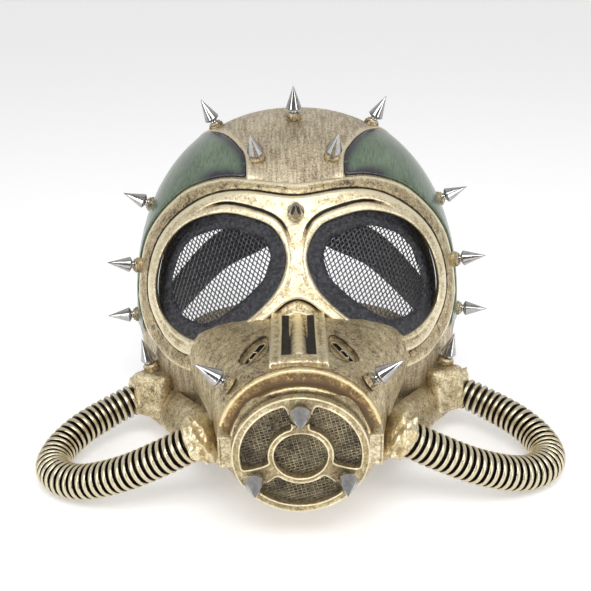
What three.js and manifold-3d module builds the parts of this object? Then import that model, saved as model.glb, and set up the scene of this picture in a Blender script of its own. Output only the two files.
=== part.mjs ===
// A gas mask style costume mask: a hollow moulded shell with goggle frames and a short muzzle,
// green temple panels, meshed eyes and filter, two ribbed hoses, a head strap and screwed spikes.
// Millimetres. The front faces -Y, +Y runs back and +Z is up. Left and right in names are those of
// someone who looks at the front, so right is +X. Inside the mask group the zero is the middle of the
// eyes, and the group leans back as the mask rests, with its underside at z = 0.

import * as THREE from "three";
import { mergeVertices } from "three/addons/utils/BufferGeometryUtils.js";
import Module from "manifold-3d";

const wasm = await Module();
wasm.setup();

// Driving dimensions
const fitGap = 0.3; // between pieces that touch
const cornerMerge = 1e-3;
const blockReach = 60; // how far cutting blocks start in front of the filter cap
const shellWall = 2.5;
const domeCentreZ = -30;
const domeHalfWidth = 96.5;
const domeHalfDepth = 94;
const domeHalfHeight = 116;
const domeRoundness = 2.2; // 2 is an ellipsoid, more is boxier
const rearReach = 8; // the rear rim's place behind the zero
const chinEdgeZ = -91.5; // the rim between the cheeks and the muzzle
const chinEdgeFront = -104;
const chinEdgeRear = -22;
const restLean = THREE.MathUtils.degToRad(12.8);
const restDrop = 88; // from the zero down to what the mask rests on

const visorRadius = 89.5;
const visorLean = THREE.MathUtils.degToRad(23.4);
const visorAxisY = -12.5; // the axis at the height visorAxisZ
const visorAxisZ = -25;
const frameHalfWidth = 92;
const frameHalfHeight = 50.5;
const frameCentreZ = -5.5;
const frameRear = -20; // where the frame's blocks end, inside the dome
const lowBandDrop = 3.2; // the outer band lies this far under the bright band
const frameProud = 4.2; // the bright band's height over the dome, at the sides
const lowBandProud = 2; // and the outer band's
const eyeCentreX = 41.6;
const eyeCentreZ = -6;
const eyeHalfWidth = 36.2;
const eyeHalfHeight = 32.7;
const eyeRingWidth = 4.6;
const eyeGrooveWidth = 1.3;
const eyeGrooveDepth = 1.5;
const gasketWidth = 8.5;
const gasketThickness = 2.4;
const eyeMeshOverlap = 3;
const eyeMeshThickness = 0.9;
const eyeMeshPitch = 14;
const eyeMeshWire = 3.4;

const panelThickness = 1.2;
const panelGap = 0.4; // between a panel's edge and what stands beside it
const panelBelowFrame = 15;
const panelBottomZ = frameCentreZ + panelBelowFrame - frameHalfHeight;
const panelRearMargin = 6.6;
const panelTopZ = 92;

const capCentreY = -171.6;
const capCentreZ = -77.7;
const capDroop = THREE.MathUtils.degToRad(18.3);
const capRadius = 31;
const capThickness = 4;
const capBevel = 0.9;
const capWindowRadius = 12;
const capWebRadius = 15;
const capOuterWindowRadius = 27.2;
const capSpokeHalfWidth = 5.6;
const capSpikeRing = 23.6;
const filterMeshThickness = 0.9;
const filterBoreRadius = 29.6;
const filterMeshPitch = 11;
const filterMeshWire = 3;
const muzzleWall = 2.5;
const muzzleFront = 5.5; // behind the filter cap's front
const tabFront = 7;
const tabDrop = 3; // from the lip's ends down to the side tabs
const muzzleRoundness = 2.3;
const muzzleHalfWidth = 43;
const muzzleRise = 33;
const muzzleDrop = 43;
const muzzleLength = 110;

const lipRadius = 38;
const lipBack = 12;
const lipHalfAngle = THREE.MathUtils.degToRad(76);
const tabWidth = 7.5;
const tabHeight = 16.5;
const tabLength = 15;
const nosePlateHalfWidth = 13.6;
const nosePlateRise = 2.4;
const nosePlateFront = 20;
const nosePlateRear = 86;
const noseRecessHalfWidth = 7.6;
const noseRecessFront = 28;
const noseRecessRear = 74;
const noseRibRadius = 4.3;
const nosePlateDepth = 9;
const noseRecessDepth = 3.4;
const noseRibSink = 1.4; // the rib's axis lies this far under the muzzle's top
const ventLength = 19;
const ventWidth = 3.2;
const ventDepth = 24;
const ventTurn = 0.42;

const hoseRadius = 9.1;
const hoseGroove = 1.5;
const hoseRibPitch = 3.95;
const hoseSides = 6;
const socketRadius = 10.6;
const socketLength = 9;
const socketSides = 12;
const lugWidth = 21;
const lugDepth = 27;
const lugHeight = 25;
const lugInset = 16.5;
const lugBesideFrame = 34;
const lugCentreX = Math.max(domeHalfWidth - lugInset, lugBesideFrame + frameHalfWidth / 2);
const lugForward = 4;
const lugCentreY = -lugForward - domeHalfDepth / 2;
const lugCentreZ = -76.5;
const lugTurn = 0.42;
const lugTilt = 0.12;
const cheekSlant = 0.4; // how far a cheek bar's outer edge lies back, as a share of its width

const strapWidth = 25;
const strapThickness = 1.5;
const browSink = 5.5;
const browSinkVisor = 1;
const browReach = Math.max(domeHalfDepth - browSink, visorRadius - browSinkVisor);
const spikeRadius = 4.4;
const spikeLength = 18;
const capConeRadius = 5.2;
const capConeLength = 13;
const bossRadius = 4.9;
const bossHeight = 1.2;
const spikeSides = 7;

// Face counts
const domeFaces = { around: 30, down: 15 };
const innerFaces = { around: 20, down: 9 };
const visorFaces = 34;
const frameFaces = 32;
const eyeFaces = 16;
const muzzleFaces = 18;
const collarFaces = 32;

// Outline of the goggle frame, right half, as shares of frameHalfWidth and frameHalfHeight
const frameEdge = [
  { across: 0, up: 0.937 }, { across: 0.283, up: 0.99 }, { across: 0.411, up: 1 },
  { across: 0.533, up: 0.96 }, { across: 0.652, up: 0.88 }, { across: 0.761, up: 0.733 },
  { across: 0.859, up: 0.554 }, { across: 0.94, up: 0.327 }, { across: 0.995, up: -0.065 },
  { across: 1, up: -0.406 }, { across: 0.935, up: -0.713 }, { across: 0.804, up: -0.921 },
  { across: 0.63, up: -1 }, { across: 0.505, up: -0.98 }, { across: 0.315, up: -0.782 },
  { across: 0.16, up: -0.594 }, { across: 0.07, up: -0.426 }, { across: 0, up: -0.378 },
];
// Outline of the bright band inside it, in the same shares
const bandEdge = [
  { across: 0, up: 0.806 }, { across: 0.283, up: 0.867 }, { across: 0.435, up: 0.851 },
  { across: 0.565, up: 0.772 }, { across: 0.726, up: 0.576 }, { across: 0.837, up: 0.325 },
  { across: 0.904, up: -0.02 }, { across: 0.902, up: -0.347 }, { across: 0.815, up: -0.653 },
  { across: 0.723, up: -0.776 }, { across: 0.628, up: -0.822 }, { across: 0.478, up: -0.758 },
  { across: 0.315, up: -0.608 }, { across: 0.148, up: -0.376 }, { across: 0.063, up: -0.253 },
  { across: 0, up: -0.218 },
];
// Outline of the right eye opening, as shares of eyeHalfWidth and eyeHalfHeight
const eyeEdge = [
  { across: -0.06, up: 1 }, { across: 0.48, up: 0.82 }, { across: 0.84, up: 0.4 },
  { across: 1, up: -0.28 }, { across: 0.89, up: -0.68 }, { across: 0.51, up: -0.96 },
  { across: 0.14, up: -0.99 }, { across: -0.24, up: -0.78 }, { across: -0.64, up: -0.44 },
  { across: -0.89, up: -0.11 }, { across: -1, up: 0.34 }, { across: -0.82, up: 0.76 },
  { across: -0.45, up: 0.94 },
];
// The goggles' front, turned about their leaning axis: height on it and share of visorRadius
const visorProfile = [
  { height: -95, radius: 0.9 }, { height: -62, radius: 0.967 }, { height: -45, radius: 0.99 },
  { height: -28, radius: 1 }, { height: 60, radius: 1 },
];
// Inner edge of a green panel seen from above, as shares of domeHalfWidth and domeHalfDepth
const panelEdge = [
  { across: 0.27, back: -0.8 }, { across: 0.28, back: -0.68 }, { across: 0.322, back: -0.6 },
  { across: 0.394, back: -0.47 }, { across: 0.485, back: -0.3 }, { across: 0.575, back: -0.09 },
];
// Sections of the muzzle from the filter cap back, as shares of its length, width, rise and drop
const muzzleSections = [
  { back: 0.045, width: 0.72, rise: 0.94, drop: 0.72 }, { back: 0.109, width: 0.76, rise: 0.985, drop: 0.8 },
  { back: 0.155, width: 0.85, rise: 1.08, drop: 0.9 },
  { back: 0.2, width: 0.907, rise: 1.07, drop: 0.953 },
  { back: 0.364, width: 1, rise: 1, drop: 1 },
  { back: 0.545, width: 1.14, rise: 0.94, drop: 1.02 }, { back: 0.773, width: 1.35, rise: 0.88, drop: 1.04 },
  { back: 1, width: 1.5, rise: 0.72, drop: 1.04 },
];
// Profile of the collar over the filter cap, as shares of lipRadius and lipBack
const collarProfile = [
  { out: 0.84, back: 0 }, { out: 0.885, back: 0.3 }, { out: 0.98, back: 0.55 }, { out: 1, back: 0.61 },
  { out: 1, back: 0.8 }, { out: 0.9, back: 1.3 }, { out: 0.75, back: 1.3 }, { out: 0.75, back: 0 },
];
// Right slots of the muzzle: the middle of each, across and back from the filter cap
const ventSlots = [{ across: 18.5, back: 43 }, { across: 23.1, back: 38.5 }];
// Sections of the right cheek's bar, from the hose back to the muzzle
const cheekSections = [
  { x: 78, y: -54, z: -84, width: 9, height: 21 }, { x: 58, y: -92, z: -85, width: 9, height: 22 },
  { x: 38, y: -128, z: -86, width: 6, height: 20 },
];
// Outline of a cheek bar's section, as shares of its width and half its height
const cheekShape = [
  { across: -1, up: -1 }, { across: 1, up: -1 }, { across: 1, up: 0.2 }, { across: 0, up: 1 },
  { across: -1, up: 1 },
];
// Profile of a screwed spike, as shares of its length and radius
const spikeProfile = [
  { up: 0, out: 0 }, { up: 0, out: 0.84 }, { up: 0.1, out: 0.84 }, { up: 0.18, out: 0.5 },
  { up: 0.28, out: 1 }, { up: 1, out: 0 },
];
// Spikes square to the dome: azimuth from the front, elevation from its centre, and height over it
const domeSpikes = [
  { name: "crown", azimuth: 0, elevation: 69.5, proud: 0, sides: [0] },
  { name: "crown_side", azimuth: 65, elevation: 64.5, proud: 0, sides: [-1, 1] },
  { name: "forehead", azimuth: 16.7, elevation: 50.8, proud: 0, sides: [-1, 1] },
  { name: "temple", azimuth: 80, elevation: 34.5, proud: 0, sides: [-1, 1] },
  { name: "side_upper", azimuth: 66.6, elevation: 14.6, proud: lowBandProud, sides: [-1, 1] },
  { name: "side_lower", azimuth: 78, elevation: -3.4, proud: 0, sides: [-1, 1] },
];
// Other spikes, right half: where they stand and which way they point
const formSpikes = [
  { name: "cheek", x: lugCentreX + 4, y: lugCentreY - 2, z: lugCentreZ + 14.1,
    azimuth: 40, elevation: 70, sides: [-1, 1] },
  { name: "muzzle", x: 31.5, y: -157.5, z: -48, azimuth: 84, elevation: 34, sides: [-1, 1] },
  { name: "brow", x: 0, y: -browReach, z: 26, azimuth: 0, elevation: 20, sides: [0] },
];
// Hose route on the right, from the cheek round to the muzzle
const hoseRoute = [
  { x: lugCentreX + 11.6, y: lugCentreY + 0.4, z: lugCentreZ - 2.5 },
  { x: lugCentreX + 20.5, y: lugCentreY - 4.5, z: lugCentreZ - 6 },
  { x: lugCentreX + 30.8, y: lugCentreY - 10.9, z: lugCentreZ - 10.5 },
  { x: lugCentreX + 41.9, y: -72.7, z: -92.3 }, { x: lugCentreX + 49.8, y: -85, z: -98.8 },
  { x: lugCentreX + 51, y: -98, z: -103.8 }, { x: lugCentreX + 44, y: -110.5, z: -105.9 },
  { x: 111, y: -120, z: -105.4 }, { x: 88.8, y: -129, z: -98.7 },
  { x: 67.9, y: -134.8, z: -89 }, { x: 49.5, y: -139, z: -79 },
];
// Strap route on the right, from the middle of the back to the shell's inner wall
const strapRoute = [
  { x: 0, y: 74, z: 18 }, { x: 31, y: 68, z: 4 }, { x: 52, y: 58, z: -6 },
  { x: 72, y: 40, z: -25 }, { x: 85.3, y: 15, z: -42 }, { x: 88.4, y: -8, z: -50 },
];

// Finishes
const gold = new THREE.MeshStandardMaterial({ color: 0xb39a5f, roughness: 0.42, metalness: 0.75 });
const green = new THREE.MeshStandardMaterial({ color: 0x5d7d62, roughness: 0.35, metalness: 0.4 });
const chrome = new THREE.MeshStandardMaterial({ color: 0x8d8c88, roughness: 0.2, metalness: 1 });
const black = new THREE.MeshStandardMaterial({ color: 0x26262b, roughness: 0.7, metalness: 0.1 });
const wire = new THREE.MeshStandardMaterial({ color: 0x3b372d, roughness: 0.45, metalness: 0.8 });
const hoseMetal = new THREE.MeshStandardMaterial({ color: 0xa8966a, roughness: 0.35, metalness: 0.9 });
const elastic = new THREE.MeshStandardMaterial({ color: 0x141416, roughness: 0.85, metalness: 0 });

// Solids and meshes

/** Signed volume of a closed triangle mesh. */
function signedVolume(geometry) {
  const place = geometry.attributes.position;
  const corners = geometry.index.array;
  const [a, b, c] = [new THREE.Vector3(), new THREE.Vector3(), new THREE.Vector3()];
  let volume = 0;
  for (let i = 0; i < corners.length; i += 3) {
    a.fromBufferAttribute(place, corners[i]);
    b.fromBufferAttribute(place, corners[i + 1]);
    c.fromBufferAttribute(place, corners[i + 2]);
    volume += a.dot(b.cross(c)) / 6;
  }
  return volume;
}

/** Positions alone, with shared corners merged and the faces pointing out. */
function closedGeometry(source) {
  const geometry = source.clone();
  geometry.deleteAttribute("normal");
  geometry.deleteAttribute("uv");
  const merged = mergeVertices(geometry, 1e-4);
  if (signedVolume(merged) < 0) {
    const corners = merged.index.array;
    for (let i = 0; i < corners.length; i += 3) {
      [corners[i], corners[i + 1]] = [corners[i + 1], corners[i]];
    }
  }
  return merged;
}

function solid(source) {
  const geometry = closedGeometry(source);
  return new wasm.Manifold(new wasm.Mesh({
    numProp: 3,
    vertProperties: new Float32Array(geometry.attributes.position.array),
    triVerts: new Uint32Array(geometry.index.array),
  }));
}

/** The triangles left when corners closer than cornerMerge are made one. */
function geometryOf(body) {
  const mesh = body.getMesh();
  const raw = new THREE.BufferGeometry();
  raw.setAttribute("position", new THREE.BufferAttribute(mesh.vertProperties, 3));
  raw.setIndex(new THREE.BufferAttribute(mesh.triVerts, 1));
  const geometry = mergeVertices(raw, cornerMerge);
  const corners = geometry.index.array;
  const faces = new Map();
  for (let i = 0; i < corners.length; i += 3) {
    const face = [corners[i], corners[i + 1], corners[i + 2]];
    if (new Set(face).size < 3) continue;
    const key = [...face].sort((a, b) => a - b).join(" ");
    if (faces.has(key)) faces.delete(key);
    else faces.set(key, face);
  }
  geometry.setIndex([...faces.values()].flat());
  return geometry;
}

function addPiece(group, name, body, material) {
  const geometry = body.isBufferGeometry ? closedGeometry(body) : geometryOf(body);
  geometry.computeVertexNormals();
  const mesh = new THREE.Mesh(geometry, material.clone());
  mesh.name = name;
  group.add(mesh);
}

function joined(bodies) {
  return bodies.reduce((whole, body) => whole.add(body));
}

function sideName(side) {
  if (side === 0) return "";
  return side < 0 ? "_left" : "_right";
}

/** A closed skin over rings of points that all have the same count. */
function loft(rings) {
  const count = rings[0].length;
  const points = rings.flat();
  const middle = (ring) => ring.reduce((sum, point) => sum.add(point), new THREE.Vector3()).divideScalar(count);
  const first = points.push(middle(rings[0])) - 1;
  const last = points.push(middle(rings[rings.length - 1])) - 1;
  const corners = [];
  for (let i = 0; i < count; i += 1) {
    const next = (i + 1) % count;
    for (let r = 0; r < rings.length - 1; r += 1) {
      const [low, high] = [r * count, (r + 1) * count];
      corners.push(low + i, low + next, high + next, low + i, high + next, high + i);
    }
    const end = (rings.length - 1) * count;
    corners.push(first, next, i, last, end + i, end + next);
  }
  const geometry = new THREE.BufferGeometry();
  geometry.setAttribute("position", new THREE.Float32BufferAttribute(points.flatMap((p) => p.toArray()), 3));
  geometry.setIndex(corners);
  return geometry;
}

function box(width, depth, height, x, y, z) {
  return new THREE.BoxGeometry(width, depth, height).translate(x, y, z);
}

/** A cylinder from one point towards another direction, for bosses, sockets and sleeves. */
function rod(start, direction, radius, length, sides) {
  const geometry = new THREE.CylinderGeometry(radius, radius, length, sides).translate(0, length / 2, 0);
  const turn = new THREE.Quaternion().setFromUnitVectors(new THREE.Vector3(0, 1, 0), direction);
  return geometry.applyQuaternion(turn).translate(start.x, start.y, start.z);
}

// Outlines, seen from the front

/** Points of a closed curve through a table's right half and its mirror image. */
function mirroredOutline(table, halfWidth, halfHeight, centreZ, count) {
  const right = table.map((row) => new THREE.Vector2(row.across * halfWidth, centreZ + row.up * halfHeight));
  const left = right.slice(1, -1).reverse().map((point) => new THREE.Vector2(-point.x, point.y));
  return closedCurve([...right, ...left], count);
}

function closedCurve(points, count) {
  const path = new THREE.CatmullRomCurve3(points.map((p) => new THREE.Vector3(p.x, p.y, 0)), true, "centripetal");
  return path.getSpacedPoints(count).slice(0, count).map((p) => new THREE.Vector2(p.x, p.y));
}

/** The outline moved outwards by a distance, or inwards by a negative one. */
function offsetOutline(outline, distance) {
  const turn = THREE.ShapeUtils.area(outline) > 0 ? 1 : -1;
  return outline.map((point, i) => {
    const before = outline[(i + outline.length - 1) % outline.length];
    const after = outline[(i + 1) % outline.length];
    const along = after.clone().sub(before).normalize();
    return new THREE.Vector2(point.x + along.y * distance * turn, point.y - along.x * distance * turn);
  });
}

function eyeOutline(side, grow, count) {
  const points = eyeEdge.map((row) => new THREE.Vector2(
    side * (eyeCentreX + row.across * eyeHalfWidth), eyeCentreZ + row.up * eyeHalfHeight));
  return offsetOutline(closedCurve(points, count), grow);
}

/** An outline drawn in X and Z, run from the front of the mask back to backY. */
function frontBlock(outline, backY) {
  const depth = backY - capCentreY + blockReach;
  const geometry = new THREE.ExtrudeGeometry(new THREE.Shape(outline), { depth, bevelEnabled: false, steps: 1 });
  return solid(geometry.rotateX(Math.PI / 2).translate(0, backY, 0));
}

// Base forms

/** The dome's surface along a direction from its centre, with its half axes grown by offset. */
function domePoint(direction, offset) {
  const shares = [
    Math.abs(direction.x / (domeHalfWidth + offset)), Math.abs(direction.y / (domeHalfDepth + offset)),
    Math.abs(direction.z / (domeHalfHeight + offset)),
  ];
  const sum = shares.reduce((total, share) => total + share ** domeRoundness, 0);
  return direction.clone().multiplyScalar(sum ** (-1 / domeRoundness)).add(new THREE.Vector3(0, 0, domeCentreZ));
}

function domeNormal(point) {
  const slope = (value, half) => (Math.sign(value) * Math.abs(value / half) ** (domeRoundness - 1)) / half;
  return new THREE.Vector3(
    slope(point.x, domeHalfWidth), slope(point.y, domeHalfDepth), slope(point.z - domeCentreZ, domeHalfHeight),
  ).normalize();
}

function dome(offset, faces = domeFaces) {
  const geometry = new THREE.SphereGeometry(1, faces.around, faces.down).rotateX(Math.PI / 2);
  const place = geometry.attributes.position;
  for (let i = 0; i < place.count; i += 1) {
    const point = domePoint(new THREE.Vector3().fromBufferAttribute(place, i).normalize(), offset);
    place.setXYZ(i, point.x, point.y, point.z);
  }
  return solid(geometry);
}

/** The goggles' front face turned about their leaning axis, as one full body. */
function visor(offset) {
  const edge = visorProfile.map((row) => new THREE.Vector2(row.radius * visorRadius + offset, row.height));
  const profile = [new THREE.Vector2(0, edge[0].y), ...edge, new THREE.Vector2(0, edge[edge.length - 1].y)];
  const geometry = new THREE.LatheGeometry(profile, visorFaces);
  return solid(geometry.rotateX(Math.PI / 2).rotateX(-visorLean).translate(0, visorAxisY, visorAxisZ));
}

/** A point and direction in the muzzle's own frame, whose axis runs back from the filter cap. */
const muzzleTurn = new THREE.Matrix4().makeBasis(
  new THREE.Vector3(1, 0, 0),
  new THREE.Vector3(0, Math.cos(capDroop), Math.sin(capDroop)),
  new THREE.Vector3(0, -Math.sin(capDroop), Math.cos(capDroop)),
).setPosition(0, capCentreY, capCentreZ);

function muzzleForm(inset, frontBack, sides) {
  const rings = muzzleSections.map((row, index) => Array.from({ length: sides }, (_, i) => {
    const angle = (i / sides) * 2 * Math.PI;
    const [cos, sin] = [Math.cos(angle), Math.sin(angle)];
    const tall = sin > 0 ? row.rise * muzzleRise : row.drop * muzzleDrop;
    const bend = (value) => Math.sign(value) * Math.abs(value) ** (2 / muzzleRoundness);
    const back = index === 0 ? frontBack : row.back * muzzleLength;
    return new THREE.Vector3(
      bend(cos) * (row.width * muzzleHalfWidth - inset), back, bend(sin) * (tall - inset),
    ).applyMatrix4(muzzleTurn);
  }));
  return solid(loft(rings));
}

function inMuzzle(geometry) {
  return solid(geometry.applyMatrix4(muzzleTurn));
}

/** The muzzle's rise at a distance back from the filter cap. */
function muzzleTop(back) {
  const rows = muzzleSections.map((row) => ({ back: row.back * muzzleLength, rise: row.rise * muzzleRise }));
  const next = Math.max(1, rows.findIndex((row) => row.back >= back));
  const [from, to] = [rows[next - 1], rows[next]];
  return THREE.MathUtils.mapLinear(back, from.back, to.back, from.rise, to.rise);
}

// The moulded shell

function goggles() {
  const edge = mirroredOutline(frameEdge, frameHalfWidth, frameHalfHeight, frameCentreZ, frameFaces);
  const band = mirroredOutline(bandEdge, frameHalfWidth, frameHalfHeight, frameCentreZ, frameFaces);
  const low = visor(-lowBandDrop).add(dome(lowBandProud));
  const high = visor(0).add(dome(frameProud));
  const outer = frontBlock(edge, frameRear).intersect(low).add(frontBlock(band, frameRear).intersect(high));
  const inner = frontBlock(offsetOutline(edge, -shellWall), frameRear).intersect(visor(-lowBandDrop - shellWall));
  return { outer, inner };
}

function eyeCuts(side) {
  const hole = frontBlock(eyeOutline(side, 0, eyeFaces), frameRear);
  const ring = frontBlock(eyeOutline(side, eyeRingWidth + eyeGrooveWidth, eyeFaces), frameRear)
    .subtract(frontBlock(eyeOutline(side, eyeRingWidth, eyeFaces), frameRear))
    .subtract(visor(-eyeGrooveDepth));
  return hole.add(ring);
}

function collar() {
  const lip = collarProfile.map((row) => new THREE.Vector2(row.out * lipRadius, muzzleFront + row.back * lipBack));
  const ring = new THREE.LatheGeometry([...lip, lip[0]], collarFaces);
  const reach = 2 * lipRadius;
  const low = Math.cos(lipHalfAngle) * lipRadius;
  const upper = box(reach * 2, reach, reach, 0, reach / 2, low + reach / 2);
  return inMuzzle(ring).intersect(inMuzzle(upper));
}

function sideTabs() {
  const top = Math.cos(lipHalfAngle) * lipRadius - tabDrop;
  return joined([-1, 1].map((side) => inMuzzle(box(
    tabWidth, tabLength, tabHeight, side * (capRadius + tabWidth / 2 - 1), tabFront + tabLength / 2, top - tabHeight / 2))));
}

function nosePlate() {
  const row = (back, rise) => [
    new THREE.Vector3(-nosePlateHalfWidth, back, rise - nosePlateDepth),
    new THREE.Vector3(nosePlateHalfWidth, back, rise - nosePlateDepth),
    new THREE.Vector3(nosePlateHalfWidth - 1, back, rise), new THREE.Vector3(1 - nosePlateHalfWidth, back, rise),
  ];
  const backs = [nosePlateFront, 40, 60, nosePlateRear];
  return inMuzzle(loft(backs.map((back) => row(back, muzzleTop(back) + nosePlateRise))));
}

function noseRecess() {
  const row = (back, rise) => [
    new THREE.Vector3(-noseRecessHalfWidth, back, rise), new THREE.Vector3(noseRecessHalfWidth, back, rise),
    new THREE.Vector3(noseRecessHalfWidth, back, rise + 5), new THREE.Vector3(-noseRecessHalfWidth, back, rise + 5),
  ];
  const backs = [noseRecessFront, 50, noseRecessRear];
  return inMuzzle(loft(backs.map((back) => row(back, muzzleTop(back) + nosePlateRise - noseRecessDepth))));
}

function noseRib() {
  const start = new THREE.Vector3(0, noseRecessFront - 1, muzzleTop(noseRecessFront) - noseRibSink);
  const end = new THREE.Vector3(0, nosePlateRear, muzzleTop(nosePlateRear) - noseRibSink);
  const along = end.clone().sub(start);
  return inMuzzle(rod(start, along.clone().normalize(), noseRibRadius, along.length(), 16));
}

/** Two slanting slots on each shoulder of the muzzle. */
function vents() {
  return joined([-1, 1].flatMap((side) => ventSlots.map((row) => {
    const slot = box(ventWidth, ventLength, ventDepth, 0, 0, 0).rotateZ(-side * ventTurn);
    return inMuzzle(slot.translate(side * row.across, row.back, muzzleRise - 2));
  })));
}

function hoseCurve(side) {
  return new THREE.CatmullRomCurve3(hoseRoute.map((row) => new THREE.Vector3(side * row.x, row.y, row.z)));
}

/** The block on the cheek that the hose leaves from, and the sockets at both hose ends. */
function hoseSeats(side) {
  const curve = hoseCurve(side);
  const [start, end] = [curve.getPoint(0), curve.getPoint(1)];
  const [startAway, endAway] = [curve.getTangent(0).negate(), curve.getTangent(1)];
  const rear = rod(start.clone().addScaledVector(startAway, fitGap), startAway, socketRadius, socketLength, socketSides);
  const front = rod(end.clone().addScaledVector(endAway, fitGap), endAway, socketRadius, socketLength, socketSides);
  const lug = box(lugWidth, lugDepth, lugHeight, 0, 0, 0).rotateZ(side * lugTurn).rotateY(-side * lugTilt);
  lug.translate(side * lugCentreX, lugCentreY, lugCentreZ);
  const bar = loft(cheekSections.map((row) => cheekShape.map(({ across, up }) => new THREE.Vector3(
    side * (row.x + across * row.width), row.y + across * row.width * cheekSlant, row.z + up * row.height / 2))));
  return joined([solid(rear), solid(front), solid(lug), solid(bar)]);
}

/** Room in the cheek and the muzzle for the hose's two ends. */
function hoseRoom(side) {
  const curve = hoseCurve(side);
  return joined([[0, 1], [1, -1]].map(([place, way]) => {
    const along = curve.getTangent(place).multiplyScalar(way);
    const start = curve.getPoint(place).addScaledVector(along, -fitGap);
    return solid(rod(start, along, hoseRadius + 2 * fitGap, 2 * socketLength, socketSides));
  }));
}

/** Where each spike stands and which way it points. */
function spikePlaces() {
  const onDome = domeSpikes.flatMap((row) => row.sides.map((side) => {
    const base = domePoint(aim(side * row.azimuth, row.elevation), row.proud);
    return { name: `spike_${row.name}${sideName(side)}`, base, direction: domeNormal(base) };
  }));
  const onForms = formSpikes.flatMap((row) => row.sides.map((side) => ({
    name: `spike_${row.name}${sideName(side)}`,
    base: new THREE.Vector3(side * row.x, row.y, row.z),
    direction: aim(side * row.azimuth, row.elevation),
  })));
  return [...onDome, ...onForms];
}

function aim(azimuth, elevation) {
  const [turn, rise] = [THREE.MathUtils.degToRad(azimuth), THREE.MathUtils.degToRad(elevation)];
  return new THREE.Vector3(
    Math.cos(rise) * Math.sin(turn), -Math.cos(rise) * Math.cos(turn), Math.sin(rise));
}

function spikeBosses() {
  return joined(spikePlaces().map(({ base, direction }) => solid(rod(
    base.clone().addScaledVector(direction, -shellWall), direction, bossRadius, shellWall + bossHeight, spikeSides))));
}

/** What the resting surface, the rear rim and the chin edge leave off. */
function trims() {
  const big = 400;
  const rear = solid(box(big, big, big, 0, rearReach + big / 2, 0));
  const floor = solid(box(big, big, big, 0, 0, -restDrop - big / 2).rotateX(restLean));
  const chin = solid(box(big, chinEdgeRear - chinEdgeFront, big, 0,
    (chinEdgeRear + chinEdgeFront) / 2, chinEdgeZ - big / 2));
  return [rear, floor, chin];
}

/** The green panel's region, drawn from above. */
function panelRegion(side) {
  const inner = panelEdge.map((row) => new THREE.Vector2(
    side * row.across * domeHalfWidth, row.back * domeHalfDepth));
  const rear = rearReach - panelRearMargin;
  const far = domeHalfWidth + 20;
  const shape = new THREE.Shape([
    new THREE.Vector2(side * far, -domeHalfDepth - 20), new THREE.Vector2(inner[0].x, -domeHalfDepth - 20),
    ...inner, new THREE.Vector2(inner[inner.length - 1].x, rear), new THREE.Vector2(side * far, rear),
  ]);
  const depth = panelTopZ - panelBottomZ;
  const region = new THREE.ExtrudeGeometry(shape, { depth, bevelEnabled: false, steps: 1 });
  return solid(region.translate(0, 0, panelBottomZ));
}

function maskShell() {
  const { outer, inner } = goggles();
  let body = joined([dome(0), outer, muzzleForm(0, muzzleFront, muzzleFaces), collar(), sideTabs(), nosePlate(),
    hoseSeats(-1), hoseSeats(1), spikeBosses()]);
  body = body.subtract(noseRecess()).add(noseRib());
  const hollow = joined([dome(-shellWall, innerFaces), inner, muzzleForm(muzzleWall, muzzleFront - 1, muzzleFaces - 4)]);
  body = body.subtract(hollow).subtract(vents());
  for (const side of [-1, 1]) {
    body = body.subtract(eyeCuts(side)).subtract(hoseRoom(side));
  }
  return trims().reduce((whole, trim) => whole.subtract(trim), body);
}

function templePanel(side) {
  const skin = dome(fitGap + panelThickness).subtract(dome(fitGap));
  const edge = mirroredOutline(frameEdge, frameHalfWidth, frameHalfHeight, frameCentreZ, frameFaces);
  return panelRegion(side).intersect(skin).subtract(frontBlock(offsetOutline(edge, panelGap), frameRear))
    .subtract(spikeHoles());
}

/** Clearance round each boss, where a panel passes it. */
function spikeHoles() {
  return joined(spikePlaces().map(({ base, direction }) => solid(rod(
    base.clone().addScaledVector(direction, -2 * shellWall), direction, bossRadius + panelGap, 4 * shellWall, spikeSides))));
}

// Eyes

function eyeGasket(side) {
  const ring = frontBlock(eyeOutline(side, -fitGap, eyeFaces), frameRear)
    .subtract(frontBlock(eyeOutline(side, -gasketWidth, eyeFaces), frameRear));
  return ring.intersect(visor(-1)).subtract(visor(-1 - gasketThickness));
}

function eyeMesh(side) {
  const top = -1 - gasketThickness - fitGap;
  const plate = frontBlock(eyeOutline(side, eyeMeshOverlap - gasketWidth, eyeFaces), frameRear)
    .intersect(visor(top)).subtract(visor(top - eyeMeshThickness));
  const cells = [];
  const half = (eyeMeshPitch - eyeMeshWire) / 2;
  for (let row = -4; row <= 4; row += 1) {
    for (let column = -4; column <= 4; column += 1) {
      const centre = new THREE.Vector2(
        side * (eyeCentreX + (column + (row % 2) / 2) * eyeMeshPitch), eyeCentreZ + row * eyeMeshPitch * 0.75);
      if (!insideOutline(centre, eyeOutline(side, -gasketWidth - half, eyeFaces))) continue;
      const diamond = [[0, half], [half, 0], [0, -half], [-half, 0]].map(([x, z]) => new THREE.Vector2(
        centre.x + x, centre.y + z));
      cells.push(frontBlock(diamond, frameRear));
    }
  }
  return plate.subtract(joined(cells));
}

function insideOutline(point, outline) {
  let inside = false;
  outline.forEach((a, i) => {
    const b = outline[(i + 1) % outline.length];
    const crosses = (a.y > point.y) !== (b.y > point.y);
    if (crosses && point.x < a.x + ((point.y - a.y) * (b.x - a.x)) / (b.y - a.y)) inside = !inside;
  });
  return inside;
}

// Filter

/** Points on an arc round the cap's middle. */
function arcPoints(radius, from, to, count) {
  return Array.from({ length: count + 1 }, (_, i) => {
    const angle = from + ((to - from) * i) / count;
    return new THREE.Vector2(radius * Math.cos(angle), radius * Math.sin(angle));
  });
}

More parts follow.
